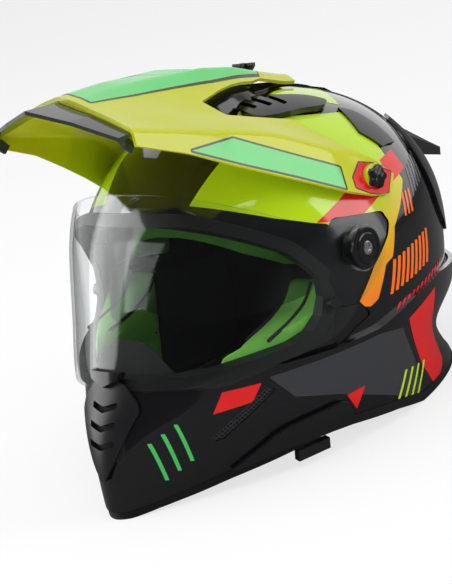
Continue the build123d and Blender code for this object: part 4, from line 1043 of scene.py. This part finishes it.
def band(path, side, low_y, high_y, thickness):
    """A flat strap: even steps along its path, widened along Y and thickened below, with closed ends."""
    corners = np.array(path, float)
    run = np.concatenate([[0], np.cumsum(np.linalg.norm(np.diff(corners, axis=0), axis=1))])
    at = np.linspace(0, run[-1], STRAP_STEPS)
    x, z = np.interp(at, run, corners[:, 0]), np.interp(at, run, corners[:, 1])
    tangent = np.gradient(np.stack([x, z], axis=1), axis=0)
    tangent /= np.linalg.norm(tangent, axis=1, keepdims=True)
    down = np.stack([-tangent[:, 1], tangent[:, 0]], axis=1)
    down *= np.where(down[:, 1:] > 0, -1.0, 1.0)
    rows = []
    for y, off in ((low_y, 0.0), (high_y, 0.0), (high_y, thickness), (low_y, thickness)):
        px, pz = x + down[:, 0] * off, z + down[:, 1] * off
        rows.append(np.stack([side * px, np.full_like(px, y), pz], axis=1))
    points = np.stack(rows, axis=1).reshape(-1, 3)
    row = np.arange(4)
    ring = np.stack([row, (row + 1) % 4, 4 + (row + 1) % 4, 4 + row], axis=-1)
    last = STRAP_STEPS - 1
    faces = (4 * np.arange(last)[:, None, None] + ring).reshape(-1, 4).tolist()
    return points, faces + [[3, 2, 1, 0], [last * 4 + j for j in range(4)]]


for hand, side, path in (("left", 1, LEFT_PATH), ("right", -1, RIGHT_PATH)):
    strap = band(path, side, *STRAP_Y, STRAP_THICKNESS)
    made = piece("strap_skin_" + hand, *strap, webbing, "helmet", ["strap_" + hand], False)

# Pivot caps. Flat round caps of black plastic with a ring groove, over the shield's hubs. Each is held by a
# steel screw at its centre.
CAP_PROFILE = [
    (0, 119), (8.6, 119), (8.6, 122.3), (14, 122.3), (14, 123.9), (13.4, 124.5), (11.6, 124.5), (11.2, 124.0),
    (10.6, 124.0), (10.2, 124.5), (9.4, 124.9), (5.6, 124.9), (5.2, 124.3), (0, 124.3),
]
CAP_SCREW_PROFILE = [
    (0, 123.5), (4.6, 123.5), (4.6, 124.9), (4.1, 125.4), (2.4, 125.4), (2.1, 124.7), (0, 124.7),
]
for side, hand in SIDES:
    cap = turned(CAP_PROFILE, (0, *HUB), "X", side)
    piece("shield_cap_skin_" + hand, *cap, gloss_black, "helmet", ["shield_cap_" + hand], False)
    screw = turned(CAP_SCREW_PROFILE, (0, *HUB), "X", side)
    piece("cap_screw_skin_" + hand, *screw, steel, "helmet", ["cap_screw_" + hand], False)

# Thumb screws. Moulded black knobs with five lobes, each on a threaded shank. The one on top and the ones at
# the ears hold the peak.
LOBES = 5
LOBE_START = 3.5
SIDE_KNOB_PROFILE = [
    (0, 0.1), (8.4, 0.1), (8.6, 1.4), (7.8, 3.6), (5.0, 5.0), (3.0, 4.4), (2.6, 6.2), (0, 6.4),
]
TOP_KNOB_PROFILE = [(0, 0.1), (5.0, 0.1), (8.6, 5.0), (8.6, 7.2), (3.4, 4.6), (2.8, 5.6), (0, 5.8)]
TOP_SEAT_Z = 271.6
SIDE_LOBE_DEPTH, TOP_LOBE_DEPTH = 0.3, 0.62


def lobed(profile, centre, axis, side, depth, around=120):
    """A knob: a turned form whose rim is drawn in between its lobes, by depth (1 - |cos(lobes a/2)|^1.4)."""
    points, faces = turned(profile, (0, 0, 0), axis, side, around)
    flat = np.array([0, 1, 1]) if axis == "X" else np.array([1, 1, 0])
    turn = np.arctan2(points[:, 2], points[:, 1]) if axis == "X" else np.arctan2(points[:, 1], points[:, 0])
    reach = np.linalg.norm(points * flat, axis=1)
    pull = 1 - depth * np.clip((reach - LOBE_START) / 4, 0, 1) * (1 - np.abs(np.cos(turn * LOBES / 2)) ** 1.4)
    return points * (1 + flat * (pull[:, None] - 1)) + centre, faces


for side, hand in SIDES:
    knob = lobed(SIDE_KNOB_PROFILE, (side * EAR_FACE, *SIDE_SCREW), "X", side, SIDE_LOBE_DEPTH)
    piece("side_knob_" + hand, *knob, satin_black, hand + "_knob", ["side_screw_" + hand])
knob = lobed(TOP_KNOB_PROFILE, (0, TOP_SCREW_Y, TOP_SEAT_Z), "Z", 1, TOP_LOBE_DEPTH)
piece("top_knob", *knob, satin_black, "crown_knob", ["top_screw"])

# Vents of the jaw: pressed metal mesh in the slot at each side, with dark filter cloth behind it and behind
# the chin's slots.
NET_STEP = 3.0
NET_BAR = 0.9
CHIN_SCREEN = [(-15, 36), (15, 36), (15, 82), (-15, 82)]


def woven(spacing, bar):
    """Positive on the wires of a slanted net seen from the side."""

    def test(p):
        a, b = (p[:, 1] + p[:, 2]) % spacing - spacing / 2, (p[:, 1] - p[:, 2]) % spacing - spacing / 2
        return np.maximum(np.abs(a), np.abs(b)) - (spacing - bar) / 2

    return test


for side, hand in SIDES:
    vent = both(grown(within(MESH_STRIP), 1.0), on_side(side, 30))
    backing = walled(trimmed(hull(JAW, -2.4), vent, 1.6, **half_turn(side)), 0.6)
    piece("vent_cloth_" + hand, *backing, cloth_dark)
    net = walled(trimmed(hull(JAW, -1.2), both(vent, woven(NET_STEP, NET_BAR)), 0.5, **half_turn(side)), 0.5)
    piece("vent_net_" + hand, *net, mesh_wire, "helmet", ["side_mesh_" + hand])
screen = trimmed(hull(JAW, 0.42), both(within(CHIN_SCREEN, 0, 2), in_front), 1.6, turn=(0.35, 0.65))
piece("chin_screen", *walled(screen, 0.3), cloth_dark)

# Light, floor and camera. The helmet stands in a white studio: a broad lamp at each side, one over it and a
# low one in front. The camera stands as far off and as high as in the photograph.
import mathutils

CAMERA_TURN = 0.73304
CAMERA_RISE = 0.15273
CAMERA_ROLL = -0.091
CAMERA_DISTANCE = 1400.0
CAMERA_AIM = (0, -10, 130)
PIXELS_PER_MM = 1.41381
PICTURE_WIDTH, PICTURE_HEIGHT = 452, 584
AIM_PIXEL = (266.18, 273.55)
SENSOR_WIDTH = 36
WHITE_SIDE = (-0.66, 0.74, 0.0)
FLOOR_GLOW = 0.72
a, e = CAMERA_TURN, CAMERA_RISE
back = np.array([math.sin(a) * math.cos(e), -math.cos(a) * math.cos(e), math.sin(e)])
right = np.array([math.cos(a), math.sin(a), 0])
above = np.cross(back, right)
level = right * math.cos(CAMERA_ROLL) + above * math.sin(CAMERA_ROLL)
upright = -right * math.sin(CAMERA_ROLL) + above * math.cos(CAMERA_ROLL)
c, s = math.cos(TILT), math.sin(TILT)
turn_up = np.array([[1, 0, 0], [0, c, s], [0, -s, c]])
pose = np.eye(4)
pose[:3, :3] = np.stack([turn_up @ level, turn_up @ upright, turn_up @ back], axis=1)
pose[:3, 3] = stood(np.array(CAMERA_AIM) + CAMERA_DISTANCE * back)
camera = bpy.data.objects.new("camera", bpy.data.cameras.new("camera"))
bpy.context.scene.collection.objects.link(camera)
camera.matrix_world = mathutils.Matrix(pose.tolist())
camera.data.lens = PIXELS_PER_MM * CAMERA_DISTANCE * SENSOR_WIDTH / PICTURE_HEIGHT
camera.data.sensor_width = SENSOR_WIDTH
camera.data.shift_x = (PICTURE_WIDTH / 2 - AIM_PIXEL[0]) / PICTURE_HEIGHT
camera.data.shift_y = (AIM_PIXEL[1] - PICTURE_HEIGHT / 2) / PICTURE_HEIGHT
bpy.context.scene.camera = camera
bpy.context.scene.view_settings.view_transform = "Standard"


def lamp(name, spot, aim, size, power):
    """A rectangular lamp at a spot, turned to its aim."""
    light = bpy.data.lights.new(name, "AREA")
    light.shape = "RECTANGLE"
    light.size, light.size_y = size
    light.energy = power
    obj = bpy.data.objects.new(name, light)
    obj.location = spot
    way = mathutils.Vector(aim) - mathutils.Vector(spot)
    obj.rotation_euler = way.to_track_quat("-Z", "Y").to_euler()
    bpy.context.scene.collection.objects.link(obj)
    return obj


lamp("lamp_left", (-1.3, -0.9, 0.7), (0, 0, 0.12), (1.2, 1.4), 16)
lamp("lamp_right", (1.5, 0.75, 0.6), (0, 0, 0.12), (0.9, 1.4), 13)
lamp("lamp_top", (0.1, -0.2, 1.6), (0, 0, 0.1), (1.2, 1.2), 13)
low_lamp = lamp("lamp_low", (0.4, -1.3, 0.12), (0, -0.1, 0.24), (1.2, 0.3), 6)
low_lamp.visible_glossy = False

# The room is white where it is seen straight on or through clear plastic. Reflections see it dim in front and
# white behind, and it lights the helmet softly.
world = bpy.data.worlds.new("studio")
bpy.context.scene.world = world
world.use_nodes = True
nodes, links = world.node_tree.nodes, world.node_tree.links
sky = nodes["Background"]
sky.inputs["Color"].default_value = (0.46, 0.46, 0.47, 1)
white = nodes.new("ShaderNodeBackground")
white.inputs["Color"].default_value = (1, 1, 1, 1)
rays = nodes.new("ShaderNodeLightPath")
pick = nodes.new("ShaderNodeMixShader")
direction = nodes.new("ShaderNodeTexCoord")
parts = nodes.new("ShaderNodeVectorMath")
parts.operation = "DOT_PRODUCT"
parts.inputs[1].default_value = WHITE_SIDE
backdrop = nodes.new("ShaderNodeMapRange")
backdrop.inputs["From Min"].default_value = -0.05
backdrop.inputs["From Max"].default_value = 0.35
mirrored_room = nodes.new("ShaderNodeMixShader")
dim = nodes.new("ShaderNodeBackground")
dim.inputs["Color"].default_value = (0.05, 0.05, 0.055, 1)
glossy = nodes.new("ShaderNodeMixShader")
links.new(direction.outputs["Generated"], parts.inputs[0])
links.new(parts.outputs["Value"], backdrop.inputs["Value"])
links.new(backdrop.outputs["Result"], mirrored_room.inputs[0])
links.new(dim.outputs[0], mirrored_room.inputs[1])
links.new(white.outputs[0], mirrored_room.inputs[2])
links.new(rays.outputs["Is Glossy Ray"], glossy.inputs[0])
links.new(sky.outputs[0], glossy.inputs[1])
links.new(mirrored_room.outputs[0], glossy.inputs[2])
see_through = nodes.new("ShaderNodeMath")
see_through.operation = "MAXIMUM"
links.new(rays.outputs["Is Camera Ray"], see_through.inputs[0])
links.new(rays.outputs["Is Transmission Ray"], see_through.inputs[1])
links.new(see_through.outputs[0], pick.inputs[0])
links.new(glossy.outputs[0], pick.inputs[1])
links.new(white.outputs[0], pick.inputs[2])
links.new(pick.outputs[0], nodes["World Output"].inputs["Surface"])

# The floor glows white for the camera and keeps the helmet's shadow. Reflections see it dark.
floor_mesh = bpy.data.meshes.new("floor")
floor_mesh.from_pydata([(-6, -6, 0), (6, -6, 0), (6, 6, 0), (-6, 6, 0)], [], [(0, 1, 2, 3)])
floor_white = bpy.data.materials.new("floor_white")
floor_white.use_nodes = True
nodes, links = floor_white.node_tree.nodes, floor_white.node_tree.links
nodes["Principled BSDF"].inputs["Base Color"].default_value = (0.85, 0.85, 0.85, 1)
nodes["Principled BSDF"].inputs["Roughness"].default_value = 0.9
glow = nodes.new("ShaderNodeEmission")
glow.inputs["Strength"].default_value = 1.0
rays = nodes.new("ShaderNodeLightPath")
share = nodes.new("ShaderNodeMath")
share.operation = "MULTIPLY"
share.inputs[1].default_value = FLOOR_GLOW
pick = nodes.new("ShaderNodeMixShader")
seen = nodes.new("ShaderNodeMath")
seen.operation = "MAXIMUM"
links.new(rays.outputs["Is Camera Ray"], seen.inputs[0])
links.new(rays.outputs["Is Transmission Ray"], seen.inputs[1])
links.new(seen.outputs[0], share.inputs[0])
links.new(share.outputs[0], pick.inputs[0])
shade = nodes.new("ShaderNodeBsdfDiffuse")
shade.inputs["Color"].default_value = (0.12, 0.12, 0.12, 1)
mirror_pick = nodes.new("ShaderNodeMixShader")
links.new(rays.outputs["Is Glossy Ray"], mirror_pick.inputs[0])
links.new(nodes["Principled BSDF"].outputs[0], mirror_pick.inputs[1])
links.new(shade.outputs[0], mirror_pick.inputs[2])
links.new(mirror_pick.outputs[0], pick.inputs[1])
links.new(glow.outputs[0], pick.inputs[2])
links.new(pick.outputs[0], nodes["Material Output"].inputs["Surface"])
floor_mesh.materials.append(floor_white)
floor = bpy.data.objects.new("floor", floor_mesh)
bpy.context.scene.collection.objects.link(floor)
